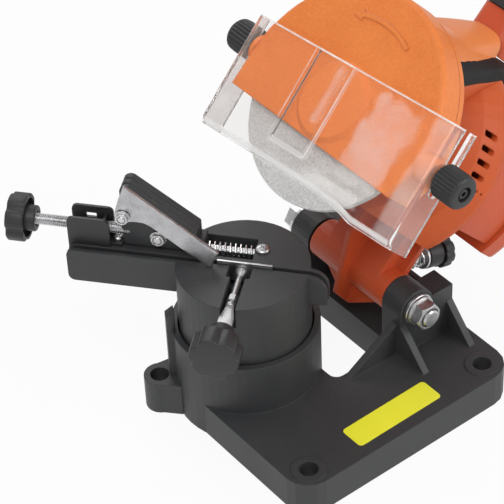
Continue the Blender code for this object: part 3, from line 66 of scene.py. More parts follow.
# a node socket that takes Python arithmetic, and the one way to add any other node
class Wire:
    def __init__(self, tree, socket=None):
        self.tree = tree
        self.socket = socket

    def node(self, kind, settings=None, sockets=None, out=0):
        made = self.tree.nodes.new(kind)
        for key, value in (settings or {}).items():
            if key == "stops":
                ramp = made.color_ramp
                while len(ramp.elements) < len(value):
                    ramp.elements.new(0.5)
                for element, (spot, colour) in zip(ramp.elements, value):
                    element.position = spot
                    element.color = (*colour, 1)
            else:
                setattr(made, key, value)
        for key, value in (sockets or {}).items():
            if isinstance(value, Wire):
                self.tree.links.new(value.socket, made.inputs[key])
            else:
                made.inputs[key].default_value = value
        return Wire(self.tree, made.outputs[out] if made.outputs else None)

    def sum(self, operation, first, second):
        return self.node("ShaderNodeMath", {"operation": operation},
                         {0: first, 1: second})

    def __add__(self, other):
        return self.sum("ADD", self, other)

    def __mul__(self, other):
        return self.sum("MULTIPLY", self, other)

    def __gt__(self, other):
        return self.sum("GREATER_THAN", self, other)

    __radd__ = __add__
    __rmul__ = __mul__


def newMaterial(name):
    material = bpy.data.materials.new(name)
    material.use_nodes = True
    material.node_tree.nodes.clear()
    return material, Wire(material.node_tree)


def objectSpace(start, stretch=(1, 1, 1), turned=(0, 0, 0)):
    spot = start.node("ShaderNodeTexCoord", out="Object")
    if stretch == (1, 1, 1) and turned == (0, 0, 0):
        return spot
    return start.node("ShaderNodeMapping", {}, {"Vector": spot, "Scale": stretch,
                                                "Rotation": [radians(a) for a in turned]})


def noise(start, vector, scale, detail=3.0, rough=0.55):
    return start.node("ShaderNodeTexNoise", {"noise_dimensions": "3D"},
                      {"Vector": vector, "Scale": scale, "Detail": detail,
                       "Roughness": rough})


def ramp(start, value, low, high, stops):
    share = start.node("ShaderNodeMapRange", {}, {"Value": value, "From Min": low,
                                                  "From Max": high})
    return start.node("ShaderNodeValToRGB", {"stops": stops}, {"Fac": share})


def spread(start, value, low, high, to):
    return start.node("ShaderNodeMapRange", {}, {"Value": value, "From Min": low,
                                                 "From Max": high, "To Min": to[0],
                                                 "To Max": to[1]})


def softNormal(start, height, depth, edge, strength=1.0):
    # rounded edges first, and the surface's own relief on top of them
    rounded = start.node("ShaderNodeBevel", {"samples": 6}, {"Radius": edge})
    return start.node("ShaderNodeBump", {}, {"Height": height, "Distance": depth,
                                             "Strength": strength, "Normal": rounded})


def lightPath(start, kind):
    return start.node("ShaderNodeLightPath", out=kind)


def surface(start, sockets):
    shader = start.node("ShaderNodeBsdfPrincipled", {}, sockets)
    start.node("ShaderNodeOutputMaterial", {}, {"Surface": shader})


def mouldedPlastic(name, low, high, rough, **more):
    # an even moulding: fine grain, a slow drift of shade, and a few pale specks
    look = {"grainScale": 900, "grainDepth": 0.00012, "edge": 0.0006, "grainShade": 0.25,
            "speck": (0.3, 0.3, 0.3), "speckAmount": 0.0, "speckFrom": 0.74,
            "shine": 0.5, **more}
    material, start = newMaterial(name)
    spot = objectSpace(start)
    drift = noise(start, spot, 22)
    grain = noise(start, spot, look["grainScale"], 2, 0.7)
    shade = ramp(start, drift * 0.75 + grain * look["grainShade"], 0.28, 0.80,
                 [(0.0, low), (1.0, high)])
    specks = noise(start, spot, 620, 0)
    worn = specks > look["speckFrom"]
    # a colour mix has its share at 0, its two colours at 6 and 7, and its result at 2
    colour = start.node("ShaderNodeMix", {"data_type": "RGBA"},
                        {0: worn * look["speckAmount"], 6: shade,
                         7: (*look["speck"], 1)}, out=2)
    surface(start, {
        "Base Color": colour,
        "Roughness": spread(start, drift + grain * 0.5, 0.4, 1.0, rough),
        "Normal": softNormal(start, grain, look["grainDepth"], look["edge"]),
        "Specular IOR Level": look["shine"],
    })
    return material


def steel(name, low, high, rough, **more):
    # plated steel: a faint brushing along the piece, and dull patches
    look = {"stretch": (1, 1, 1), "turned": (0, 0, 0), "brushScale": 700,
            "depth": 0.00005, "edge": 0.0003, **more}
    material, start = newMaterial(name)
    spot = objectSpace(start, look["stretch"], look["turned"])
    brush = noise(start, spot, look["brushScale"], 4, 0.6)
    cloud = noise(start, objectSpace(start), 160)
    colour = ramp(start, brush * 0.5 + cloud * 0.5, 0.3, 0.7, [(0.0, low), (1.0, high)])
    surface(start, {
        "Base Color": colour,
        "Metallic": 1.0,
        "Roughness": spread(start, cloud * 0.6 + brush * 0.4, 0.3, 0.7, rough),
        "Normal": softNormal(start, brush, look["depth"], look["edge"], 0.5),
    })
    return material


def abrasive(name, look):
    # pale corundum grains in a grey bond
    material, start = newMaterial(name)
    spot = objectSpace(start)
    cells = ("ShaderNodeTexVoronoi", {"feature": "F1"},
             {"Vector": spot, "Scale": look["grainScale"]})
    grains = start.node(*cells, out="Distance")
    tint = start.node(*cells, out="Color")
    pick = start.node("ShaderNodeSeparateColor", {}, {"Color": tint})
    cloud = noise(start, spot, 60)
    colour = ramp(start, pick * 0.6 + cloud * 0.4, 0.1, 0.9,
                  [(0.0, look["dark"]), (0.45, look["middle"]), (1.0, look["light"])])
    surface(start, {
        "Base Color": colour,
        "Roughness": 0.85,
        "Normal": softNormal(start, grains * -1.0, look["depth"], 0.0004, 0.9),
        "Specular IOR Level": 0.3,
    })
    return material


def clearSheet(name, look):
    # clear sheet: a fresnel shine, and white patches of painted shine: painted reflections,
    # and painted highlight lines along its bends and rims
    material, start = newMaterial(name)
    glass = start.node("ShaderNodeBsdfPrincipled", {}, {
        "Base Color": (*look["tint"], 1), "Roughness": look["rough"],
        "Transmission Weight": 1.0, "IOR": look["ior"]})
    spot = start.node("ShaderNodeAttribute", {"attribute_name": "sheetSpot"},
                      out="Vector")
    upward = start.node("ShaderNodeSeparateXYZ", {}, {"Vector": spot}, out="X")
    across = start.node("ShaderNodeSeparateXYZ", {}, {"Vector": spot}, out="Y")
    drift = noise(start, spot, 0.055, 3, 0.6)
    wander = spread(start, drift, 0.3, 0.7, (-5.0, 5.0))
    # painted shine: white patches standing in for reflections and highlights on the sheet,
    # summed patch by patch
    paintedShineShare = 0.0
    for left, right, low, high, soft, level, loose in look["patches"]:
        for way, edge, first in ((across, left, 0), (across, right, 1), (upward, low, 0),
                                 (upward, high, 1)):
            level = level * spread(start, way + wander * loose, edge - soft, edge + soft,
                                   (first, 1 - first))
        paintedShineShare = paintedShineShare + level
    # mottle makes the painted shine stronger and weaker in streaks
    mottle = spread(start, drift, 0.35, 0.65, (1.15, 0.55))
    # a lit white surface mixed into the glass as the painted shine
    paintedShineWhite = start.node("ShaderNodeBsdfPrincipled", {}, {
        "Base Color": (*look["paintedShineWhite"], 1), "Roughness": 0.25})
    # base adds an even share of painted shine over the whole sheet
    share = paintedShineShare * mottle + look["base"]
    mixed = start.node("ShaderNodeMixShader", {}, {0: share, 1: glass, 2: paintedShineWhite})
    clear = start.node("ShaderNodeBsdfTransparent", {}, {"Color": (*look["shade"], 1)})
    final = start.node("ShaderNodeMixShader", {},
                       {0: lightPath(start, "Is Shadow Ray"), 1: mixed, 2: clear})
    start.node("ShaderNodeOutputMaterial", {}, {"Surface": final})
    return material


materials = {
    "casting": mouldedPlastic(
        "blackCasting", (0.0310, 0.0320, 0.0340), (0.0425, 0.0435, 0.0455), (0.44, 0.60),
        speckAmount=0.16, speck=(0.10, 0.10, 0.105), speckFrom=0.765, edge=0.0007),
    "knob": mouldedPlastic(
        "blackKnob", (0.0200, 0.0205, 0.0215), (0.0300, 0.0305, 0.0320), (0.40, 0.55)),
    "bracket": mouldedPlastic(
        "blackSheet", (0.018, 0.018, 0.019), (0.028, 0.028, 0.030), (0.34, 0.48),
        edge=0.0004),
    "band": mouldedPlastic(
        "blackBand", (0.006, 0.0065, 0.007), (0.011, 0.0115, 0.012), (0.50, 0.62),
        edge=0.0010, shine=0.2),
    "grip": mouldedPlastic(
        "softGrip", (0.020, 0.020, 0.021), (0.030, 0.030, 0.031), (0.65, 0.80),
        grainScale=500, grainDepth=0.0003, edge=0.0012),
    "cover": mouldedPlastic(
        "orangeCover", (0.655, 0.145, 0.0215), (0.825, 0.230, 0.042), (0.40, 0.55),
        grainScale=650, grainDepth=0.00028, edge=0.0014, grainShade=0.6),
    # darker than the cover's and dome's orange: the bell's own tone with painted shade for
    # its upper part under the band
    "bell": mouldedPlastic(
        "orangeBellShaded", (0.50, 0.076, 0.014), (0.60, 0.105, 0.020), (0.42, 0.55),
        edge=0.0012, shine=0.35),
    # paler than the bell's orange: painted light and sheen on the dome's upward-facing top
    "dome": mouldedPlastic(
        "orangeDomePaintedLight", (0.72, 0.205, 0.055), (0.80, 0.245, 0.072), (0.38, 0.50),
        edge=0.0012),
    "arm": mouldedPlastic(
        "orangeArm", (0.52, 0.070, 0.018), (0.60, 0.092, 0.024), (0.38, 0.50),
        edge=0.0008),
    "steel": steel("brightSteel", (0.52, 0.52, 0.53), (0.76, 0.76, 0.77), (0.27, 0.42)),
    "dullSteel": steel(
        "dullSteel", (0.40, 0.40, 0.405), (0.62, 0.62, 0.63), (0.40, 0.56)),
    "pawlSteel": steel(
        "brushedPawl", (0.34, 0.34, 0.35), (0.60, 0.60, 0.61), (0.24, 0.40),
        stretch=(1, 14, 14), turned=(0, -39, 50.3), brushScale=120),
    "spring": steel("springSteel", (0.60, 0.60, 0.61), (0.85, 0.85, 0.86), (0.16, 0.26)),
    "wheel": abrasive("greyAbrasive", {
        "grainScale": 1500, "depth": 0.0003, "dark": (0.44, 0.44, 0.44),
        "middle": (0.57, 0.57, 0.565), "light": (0.70, 0.70, 0.695)}),
    # base: an even painted reflection over the sheet; patches: painted reflections and
    # painted highlight lines
    "guard": clearSheet("clearGuard", {
        "tint": (0.90, 0.89, 0.885), "rough": 0.02, "ior": 1.30, "paintedShineWhite": (0.92, 0.90, 0.88),
        "base": 0.01, "shade": (0.90, 0.88, 0.87),
        # each patch of painted shine, the wide ones a painted reflection and the thin ones
        # a painted highlight line: left, right, low, high, softness, strength, looseness of
        # its outline
        "patches": [(-53.0, -25.0, -30.0, 17.0, 2.0, 0.16, 0.8),
                    (-74.0, -62.5, -50.0, 19.0, 1.5, 0.14, 0.2),
                    (-2.0, 1.5, -14.0, 17.0, 1.5, 0.14, 0.2),
                    (-46.0, -8.0, -40.0, -34.0, 1.2, 0.26, 0.5),
                    (65.6, 69.0, -44.0, 21.0, 0.5, 0.35, 0.0),
                    (19.6, 20.1, -31.4, 19.0, 0.15, 0.6, 0.0),
                    (22.4, 22.8, -31.4, 19.0, 0.15, 0.5, 0.0),
                    (-5.4, -4.8, -31.4, 19.0, 0.15, 0.5, 0.0),
                    (-5.0, 20.0, -31.9, -31.4, 0.15, 0.6, 0.0),
                    (-74.6, 67.0, 19.3, 20.3, 0.15, 0.6, 0.0)]}),
    # the sheet's rims, more than half painted white: a painted highlight along its edges
    "guardRimHighlight": clearSheet("clearGuardRimHighlight", {
        "tint": (0.96, 0.96, 0.96), "rough": 0.15, "ior": 1.30, "paintedShineWhite": (0.93, 0.93, 0.93),
        "base": 0.55, "shade": (0.90, 0.88, 0.87), "patches": []}),
}
print("materials made:", len(materials))

nodeFinish = {
    "casting": ["base", "turntable", "stop_block"],
    "bracket": ["stop_bracket"],
    "knob": ["adjust_knob", "clamp_knob", "depth_knob", "guard_knob_left",
             "guard_knob_right", "switch_trigger"],
    "band": ["handle_saddle"],
    "grip": ["handle_grip"],
    "cover": ["wheel_cover", "cover_back"],
    "bell": ["motor_bell"],
    "dome": ["housing_dome"],
    "arm": ["head_frame", "rear_cap", "handle_shell"],
    "wheel": ["grinding_wheel"],
    "guard": ["guard"],
    "pawlSteel": ["pawl"],
    "spring": ["return_spring", "depth_spring"],
    "steel": ["hinge_bolt", "washer_back", "washer_front", "hinge_nut", "pivot_bolt",
              "pivot_washer", "bracket_screw", "block_bolt", "adjust_screw",
              "spring_rod", "rod_screw", "pawl_pivot", "clamp_strip", "clamp_rod",
              "depth_screw", "depth_washer", "spindle", "inner_flange", "outer_flange",
              "wheel_nut", "guard_stud_left", "guard_stud_right"],
}
for finish, names in nodeFinish.items():
    for name in names:
        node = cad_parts[name]
        if not node.material_slots:
            node.data.materials.append(None)
        for slot in node.material_slots:
            slot.material = materials[finish]
print("nodes painted")


def addObject(name, data):
    made = bpy.data.objects.new(name, data)
    bpy.context.scene.collection.objects.link(made)
    return made


# a finished mesh becomes a piece that rides on a body
def makePiece(name, shape, space, finish, body, smooth=30):
    bmesh.ops.recalc_face_normals(shape, faces=shape.faces)
    mesh = bpy.data.meshes.new(name)
    shape.to_mesh(mesh)
    shape.free()
    mesh.transform(space)
    mesh.materials.append(materials[finish])
    mesh.shade_smooth()
    mesh.set_sharp_from_angle(angle=radians(smooth))
    piece = addObject(name, mesh)
    if body:
        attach(piece, body)
    return piece


def oblong(left, low, right, high):
    return [(left, low), (right, low), (right, high), (left, high)]


def roundOutline(corners, radii, steps=5):
    if not isinstance(radii, (list, tuple)):
        radii = [radii] * len(corners)
    points = []
    for index, corner in enumerate(corners):
        here = Vector(corner)
        before = (Vector(corners[index - 1]) - here).normalized()
        after = (Vector(corners[(index + 1) % len(corners)]) - here).normalized()
        radius = radii[index]
        if radius <= 0:
            points.append(tuple(here))
            continue
        half = acos(max(-1, min(1, before.dot(after)))) / 2
        centre = here + (before + after).normalized() * (radius / sin(half))
        first = here + before * (radius / tan(half)) - centre
        last = here + after * (radius / tan(half)) - centre
        start = atan2(first.y, first.x)
        sweep = (atan2(last.y, last.x) - start + pi) % (2 * pi) - pi
        for step in range(steps + 1):
            angle = start + sweep * step / steps
            points.append((centre.x + radius * cos(angle), centre.y + radius * sin(angle)))
    return points


def slab(outline, low, high, plane="XY", edge=0, segments=2):
    # an outline in millimetres, extruded, with its two rims rounded
    order = {"XY": (0, 1, 2), "XZ": (0, 2, 1)}[plane]
    shape = bmesh.new()
    corners = []
    for first, second in outline:
        spot = (first / 1000, second / 1000, low / 1000)
        corners.append(shape.verts.new([spot[axis] for axis in order]))
    face = shape.faces.new(corners)
    grown = bmesh.ops.extrude_face_region(shape, geom=[face])
    moved = [part for part in grown["geom"] if isinstance(part, bmesh.types.BMVert)]
    rise = (0, 0, (high - low) / 1000)
    bmesh.ops.translate(shape, verts=moved, vec=[rise[axis] for axis in order])
    if edge:
        rims = [line for line in shape.edges
                if abs(line.verts[0].co[order[2]] - line.verts[1].co[order[2]]) < 1e-6]
        bmesh.ops.bevel(shape, geom=rims, offset=edge / 1000, segments=segments,
                        profile=0.5, affect="EDGES", material=-1)
    return shape


def ringed(radius, depth, lobes, each=8, sharp=1.0):
    # a round outline with even hollows, in millimetres
    points = []
    for step in range(lobes * each):
        angle = 2 * pi * step / (lobes * each)
        hollow = ((1 - cos(lobes * angle)) / 2) ** sharp
        points.append(((radius - depth * hollow) * cos(angle),
                       (radius - depth * hollow) * sin(angle)))
    return points


def lathe(profile, along="Z", steps=48):
    shape = bmesh.new()
    spots = [shape.verts.new((radius / 1000, 0, height / 1000))
             for radius, height in profile]
    lines = [shape.edges.new(pair) for pair in zip(spots, spots[1:])]
    if min(radius for radius, _ in profile) > 0:
        lines.append(shape.edges.new((spots[-1], spots[0])))
    bmesh.ops.spin(shape, geom=spots + lines, cent=(0, 0, 0), axis=(0, 0, 1),
                   angle=2 * pi, steps=steps, use_merge=True)
    bmesh.ops.remove_doubles(shape, verts=shape.verts, dist=1e-6)
    if along != "Z":
        angle, axis = {"X": (pi / 2, "Y"), "Y": (-pi / 2, "X")}[along]
        bmesh.ops.rotate(shape, verts=shape.verts, matrix=Matrix.Rotation(angle, 3, axis))
    return shape


def alongLine(line, spot):
    # the height of a line of points at one spot
    for (first, low), (second, high) in zip(line, line[1:]):
        if spot <= second:
            return low + (high - low) * (spot - first) / (second - first)
    return line[-1][1]


def blendStep(value, middle, width):
    share = max(0.0, min(1.0, (value - middle) / width + 0.5))
    return share * share * (3 - 2 * share)


def thicken(shape, wall, facing=None):
    # an open sheet turned to face one way, with a wall of this many millimetres behind it
    bmesh.ops.recalc_face_normals(shape, faces=shape.faces)
    if facing and sum(face.normal.dot(facing) for face in shape.faces) < 0:
        bmesh.ops.reverse_faces(shape, faces=shape.faces)
    bmesh.ops.solidify(shape, geom=shape.faces[:], thickness=wall / 1000)


def helper(shape):
    return makePiece("helper", shape, Matrix(), "knob", None)


def takeShape(piece):
    # the finished mesh of a helper object, and the helper away
    shape = bmesh.new()
    shape.from_mesh(piece.data)
    bpy.data.objects.remove(piece)
    return shape


def carve(piece, shapes, operation="DIFFERENCE"):
    # cuts the shapes out of a piece for good
    tools = [helper(shape) for shape in shapes]
    for tool in tools:
        step = piece.modifiers.new("carve", "BOOLEAN")
        step.operation = operation
        step.object = tool
    bpy.context.view_layer.update()
    seen = piece.evaluated_get(bpy.context.evaluated_depsgraph_get())
    mesh = bpy.data.meshes.new_from_object(seen)
    piece.modifiers.clear()
    piece.data = mesh
    for tool in tools:
        bpy.data.objects.remove(tool)
    mesh.shade_smooth()
    mesh.set_sharp_from_angle(angle=radians(30))


# clear guard: a bent sheet with a raised window, a rolled lower edge and two slots
guard = {"left": 67.0, "right": -74.5, "top": 20.2, "front": 10.0, "back": -9.0,
         "sheet": 2.0, "bend": 3.0, "windowLeft": 20.5, "windowRight": -4.6,
         "windowEnd": -31.0, "windowBlend": 1.4, "windowEndBlend": 1.6, "rise": 3.0,
         "crease": -22.0, "creaseDeep": 0.35, "creaseHalf": 1.6, "rollFrom": 3.8,
         "rollDeep": 2.4, "every": 0.9, "rows": 66, "stud": -2.0, "slotHalf": 3.0,
         "slotTravel": 8.0, "slotPast": 5.0, "edgeFacing": 0.6,
         "lowEdge": [(-80, -47.0), (-46.5, -46.8), (-33.5, -43.8), (-17.7, -42.7),
                     (80, -42.7)]}


def makeGuard():
    left, right, front, back, head, bend = (
        guard[key] for key in ("left", "right", "front", "back", "top", "bend"))
    # the sheet's outer line, from the left flange's back edge to the right one's
    line = roundOutline([(left, back), (left, front), (right, front), (right, back)],
                        [0, bend, bend, 0], 6)
    points = []
    for first, second in zip(line, line[1:]):
        steps = max(1, round((Vector(second) - Vector(first)).length / guard["every"]))
        points += [Vector(first).lerp(Vector(second), step / steps)
                   for step in range(steps)]
    points.append(Vector(line[-1]))
    shape = bmesh.new()
    spots = [shape.verts.new((head, across, out)) for across, out in points]
    lines = [shape.edges.new(pair) for pair in zip(spots, spots[1:])]
    full = head - guard["lowEdge"][-1][1]
    for _ in range(guard["rows"]):
        grown = bmesh.ops.extrude_edge_only(shape, edges=lines)["geom"]
        spots = [part for part in grown if isinstance(part, bmesh.types.BMVert)]
        lines = [part for part in grown if isinstance(part, bmesh.types.BMEdge)
                 and all(spot in spots for spot in part.verts)]
        bmesh.ops.translate(shape, verts=spots, vec=(-full / guard["rows"], 0, 0))
    for spot in shape.verts:
        up, across, out = spot.co
        low = alongLine(guard["lowEdge"], across)
        up = head - (head - up) / full * (head - low)
        flat = blendStep(out, front - bend, bend)
        raised = (blendStep(across, guard["windowRight"], guard["windowBlend"])
                  * (1 - blendStep(across, guard["windowLeft"], guard["windowBlend"]))
                  * blendStep(up, guard["windowEnd"], guard["windowEndBlend"]))
        creased = max(0.0, 1 - abs(across - guard["crease"]) / guard["creaseHalf"])
        rolled = 1 - blendStep(up, low + guard["rollFrom"] / 2, guard["rollFrom"])
        out += flat * (raised * guard["rise"] - creased * guard["creaseDeep"]
                       - rolled * guard["rollDeep"])
        spot.co = (up, across, out)
    bmesh.ops.scale(shape, verts=shape.verts, vec=(0.001, 0.001, 0.001))
    thicken(shape, guard["sheet"], Vector((0, 0, 1)))
    piece = makePiece("clearGuard", shape, Matrix(), "guard", None)
    half, past, stud = guard["slotHalf"], guard["slotPast"], guard["stud"]
    reach, openEnd = guard["slotTravel"] + half, head + past
    slots = []
    for way, flange in ((1, left), (-1, right)):
        slide = (flange - way) * tan(radians(places["guardTurn"]))
        corners = oblong(slide - reach, stud - half, openEnd, stud + half)
        outline = roundOutline(corners, [half - 0.05, 0, 0, half - 0.05], 8)
        slots.append(slab(outline, flange - past, flange + past, "XZ"))
    carve(piece, slots)
    mesh = piece.data
    # faces towards the top and bottom rims take the painted rim highlight
    mesh.materials.append(materials["guardRimHighlight"])
    for face in mesh.polygons:
        face.material_index = 1 if abs(face.normal.x) > guard["edgeFacing"] else 0
    layer = mesh.attributes.new("sheetSpot", "FLOAT_VECTOR", "POINT")
    for index, spot in enumerate(mesh.vertices):
        layer.data[index].vector = spot.co * 1000
    mesh.transform(guardSpace)
    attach(piece, "guard_body")
    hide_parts("guard")


makeGuard()
print("guard made")


# rounded slabs and turned parts of one piece, joined into one mesh
def gather(name, shapes, space, finish, body, replaces=None, smooth=30):
    whole = bmesh.new()
    for shape in shapes:
        bmesh.ops.recalc_face_normals(shape, faces=shape.faces)
        part = bpy.data.meshes.new("part")
        shape.to_mesh(part)
        shape.free()
        whole.from_mesh(part)
        bpy.data.meshes.remove(part)
    piece = makePiece(name, whole, space, finish, body, smooth)
    if replaces:
        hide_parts(*replaces)
    return piece


# stop block: three rounded ridges on a sloping back, and the lug that the spring pushes
block = {"front": 4.5, "back": 17.0, "ridges": 3, "groove": 0.5, "edge": 0.6,
         "outline": [(-63.2, 88.3), (-24.7, 88.3), (-24.7, 100.2), (-59.0, 126.6),
                     (-63.2, 124.3)], "radii": [0.4, 0.4, 0.8, 3.6, 2.6],
         "core": [(-62.8, 88.3), (-25.1, 88.3), (-25.1, 99.6), (-58.6, 125.4),
                  (-62.8, 123.2)], "coreInset": 1.0,
         "lug": oblong(-26.7, 78.3, -22.0, 92.0),
         "lugFront": 5.2, "lugBack": 18.8, "lugRound": 0.5, "lugEdge": 0.4,
         "rodHole": (0, 12.0, 85.5), "rodHoleRadius": 2.5, "rodHoleEnds": (-28.7, -20.0),
         "spacer": (-60.0, 0, 113.5), "spacerBore": 2.3, "spacerRadius": 3.6,
         "spacerEnds": (-0.7, 4.8)}


def moved(shape, spot):
    bmesh.ops.translate(shape, verts=shape.verts, vec=Vector(spot) / 1000)
    return shape


def sleeve(bore, radius, low, high, along="Y", steps=32):
    return lathe([(bore, low), (radius, low), (radius, high), (bore, high)], along, steps)


def makeBlock():
    width = (block["back"] - block["front"]) / block["ridges"]
    shapes = []
    outline = roundOutline(block["outline"], block["radii"], 6)
    for index in range(block["ridges"]):
        low = block["front"] + width * index
        high = low + width
        if index:
            low += block["groove"] / 2
        if index < block["ridges"] - 1:
            high -= block["groove"] / 2
        shapes.append(slab(outline, low, high, "XZ", block["edge"]))
    core = roundOutline(block["core"], block["radii"], 4)
    inset = block["coreInset"]
    shapes.append(slab(core, block["front"] + inset, block["back"] - inset, "XZ"))
    outline = roundOutline(block["lug"], block["lugRound"], 3)
    lug = helper(slab(outline, block["lugFront"], block["lugBack"], "XZ",
                      block["lugEdge"]))
    hole = sleeve(0, block["rodHoleRadius"], *block["rodHoleEnds"], "X")
    carve(lug, [moved(hole, block["rodHole"])])
    shapes.append(takeShape(lug))
    spacer = sleeve(block["spacerBore"], block["spacerRadius"], *block["spacerEnds"])
    shapes.append(moved(spacer, block["spacer"]))
    gather("stopBlock", shapes, tableSpace, "casting", "carrier_body",
           ["stop_block"])


makeBlock()
print("stop block made")


# the black band over the housing and the orange dome on it, both wrapped round the
# motor; each line gives a measure by the depth behind the wheel
top = {"bandRadius": [(14.0, 61.3), (45.0, 61.8), (58.0, 62.8), (66.0, 63.7), (96.0, 63.7)],
       "parts": [(14.9, 62.5, 1.5), (62.3, 94.6, 4.6)], "rows": 20, "columns": 80,
       "stepDown": 0.5, "stepAt": 0.60, "stepSoft": 0.16, "front": 14.9,
       "underDome": 1.2, "underAt": 0.20, "underSoft": 0.14,
       "inner": [(14.0, 36.5), (39.0, 27.8), (64.0, 16.5), (68.0, 14.6), (96.0, 13.0)],
       "outer": [(14.0, 45.2), (59.0, 31.2), (96.0, 20.5)],
       "domeRadius": [(14.0, 61.6), (45.0, 62.1), (58.0, 63.1), (68.0, 64.1)],
       "domeBack": 67.7, "domeEnd": 68.0, "domeRows": 44, "domeColumns": 56,
       "domeWall": 1.5, "domeSmooth": 0.5, "overlap": 0.4, "rimDrop": 0.5,
       "rise": 9.2, "riseFrom": 35.0,
       "domeDrop": [(14.0, 3.2), (24.0, 2.6), (36.0, 1.6), (48.0, 0.5), (58.0, 0.0),
                    (68.0, 0.0)],
       "fairing": [(14.0, 30.0), (40.0, 20.0), (68.0, 14.5)],
       "flank": (15.2, 58.0), "flankDrop": 30.0, "flankRun": 45.0, "flankIn": 6.0,
       "flankUnder": 1.4, "flankWall": 1.2}


def gridShape(columns, rows, size=1):
    shape = bmesh.new()
    bmesh.ops.create_grid(shape, x_segments=columns, y_segments=rows, size=size)
    return shape


def wrapGrid(front, back, rows, columns, pointAt):
    # a grid of rows from front to back, each point placed by its share across
    shape = gridShape(columns, rows)
    for spot in shape.verts:
        depth = front + (back - front) * (spot.co.y + 1) / 2
        spot.co = Vector(pointAt(depth, spot.co.x)) / 1000
    return shape


def heightAt(radius, across):
    return (radius ** 2 - across ** 2) ** 0.5


def farDrop(depth, side):
    # both dome and band fall away near the wheel on the far side
    return alongLine(top["domeDrop"], depth) * blendStep(side, -0.1, 0.9)


def makeBand():
    def pointAt(depth, share):
        inner = alongLine(top["inner"], depth)
        outer = alongLine(top["outer"], depth)
        across = share * outer
        place = (abs(across) - inner) / (outer - inner)
        radius = alongLine(top["bandRadius"], depth)
        radius -= top["stepDown"] * blendStep(place, top["stepAt"], top["stepSoft"])
        under = blendStep(-place, top["underAt"], top["underSoft"])
        radius -= (top["underDome"] + farDrop(depth, across / inner)) * under
        return heightAt(radius, across), across, -depth
    shapes = []
    for front, back, wall in top["parts"]:
        shapes.append(wrapGrid(front, back, top["rows"], top["columns"], pointAt))
        thicken(shapes[-1], wall, Vector((1, 0, 0)))
    gather("housingBand", shapes, wheelSpace, "band", "head_body",
           ["handle_saddle"])


def makeDome():
    def pointAt(depth, share):
        side = sin(share * pi / 2)
        across = side * (alongLine(top["inner"], depth) + top["overlap"])
        behind = max(0.0, depth - top["riseFrom"]) / (top["domeEnd"] - top["riseFrom"])
        wide = alongLine(top["fairing"], depth)
        level = max(0.0, 1 - abs(across / wide) ** 4) ** 0.4
        radius = alongLine(top["domeRadius"], depth) - top["rimDrop"] * abs(side) ** 10
        base = heightAt(radius - farDrop(depth, side), across)
        return base + top["rise"] * behind ** 0.85 * level, across, -depth
    shape = wrapGrid(top["front"], top["domeBack"], top["domeRows"], top["domeColumns"],
                     pointAt)
    bmesh.ops.smooth_vert(shape, verts=[spot for spot in shape.verts
                                        if not spot.is_boundary],
                          factor=top["domeSmooth"],
                          use_axis_x=True, use_axis_y=True, use_axis_z=True)
    thicken(shape, top["domeWall"], Vector((1, 0, 0)))
    gather("housingDome", [shape], wheelSpace, "dome", "head_body",
           ["housing_dome"], 40)


def makeFlanks():
    # the housing's sides under the band, down to the bell's shoulder
    for name, way in (("near", -1), ("far", 1)):
        def pointAt(depth, share):
            down = (share + 1) / 2
            across = (alongLine(top["outer"], depth) - 1.0) * way
            high = heightAt(alongLine(top["bandRadius"], depth) - top["flankUnder"],
                            across)
            drop = top["flankDrop"] * (1 - (depth - 15) / top["flankRun"])
            return high - drop * down, across - way * top["flankIn"] * down ** 2, -depth
        shape = wrapGrid(*top["flank"], 16, 10, pointAt)
        thicken(shape, top["flankWall"])
        gather(f"housingFlank_{name}", [shape], wheelSpace, "bell", "head_body")


makeBand()
makeDome()
makeFlanks()
print("housing top made")


def reachOf(name, space):
    # a node's lowest and highest corner in the axes of its own group, in millimetres
    spots = [space.inverted() @ spot.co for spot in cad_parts[name].data.vertices]
    return [(min(spot[axis] for spot in spots) * 1000,
             max(spot[axis] for spot in spots) * 1000) for axis in range(3)]


# moulded knobs with broad lobes: a dished face and a hub towards the screw
knobs = {
    "adjust": {"body": "adjuster_body", "radius": 12.7, "length": 9.5, "notch": 1.5,
               "lobes": 6, "rim": 2.4, "dish": 3.2, "hub": 6.8, "hubEnd": 14.0,
               "bore": 3.3, "edge": 1.0,
               "space": tableSpace @ shift((-123.0, 7.1, 96.8)) @ turn(90, "Y")},
    "clamp": {"body": "clamp_screw_body", "radius": 12.7, "length": 12.5, "notch": 1.5,
              "lobes": 6, "rim": 2.4, "dish": 4.0, "hub": 6.7, "hubEnd": 21.5,
              "bore": 2.45, "edge": 0.9,
              "space": tableSpace @ shift((-0.5, -67.5, 84.0)) @ turn(-90, "X")
              @ turn(14, "Z")},
    "depth": {"body": "depth_screw_body", "radius": 9.2, "length": 6.5, "notch": 0.7,
              "lobes": 8, "rim": 1.5, "dish": 1.2, "hub": 7.4, "hubEnd": 16.6,
              "bore": 3.3, "edge": 0.8,
              "space": depthSpace @ shift((36.0, 0, 0)) @ turn(-90, "Y")},
}


def makeLobedKnob(name, look):
    length = look["length"]
    outline = ringed(look["radius"], look["notch"], look["lobes"], 24, 4.0)
    grip = helper(slab(outline, 0, length, "XY", look["edge"], 3))
    hub = look["hub"]
    inner = max(look["radius"] - look["rim"], hub + 0.3)
    floor = length - look["dish"]
    dish = lathe([(hub - 1, floor), (inner - 0.1, floor), (inner, floor + 0.6),
                  (inner, length + 1), (hub - 1, length + 1)])
    carve(grip, [dish])
    bore, end = look["bore"], look["hubEnd"]
    neck = lathe([(bore, length / 2), (hub, length / 2), (hub, end - 0.7),
                  (hub - 0.25, end - 0.2), (hub - 0.8, end), (bore + 1.2, end),
                  (bore, end - 1.4)], "Z", 40)
    gather(f"{name}Knob", [takeShape(grip), neck], look["space"], "knob", look["body"],
           [f"{name}_knob"])


for name, look in knobs.items():
    makeLobedKnob(name, look)

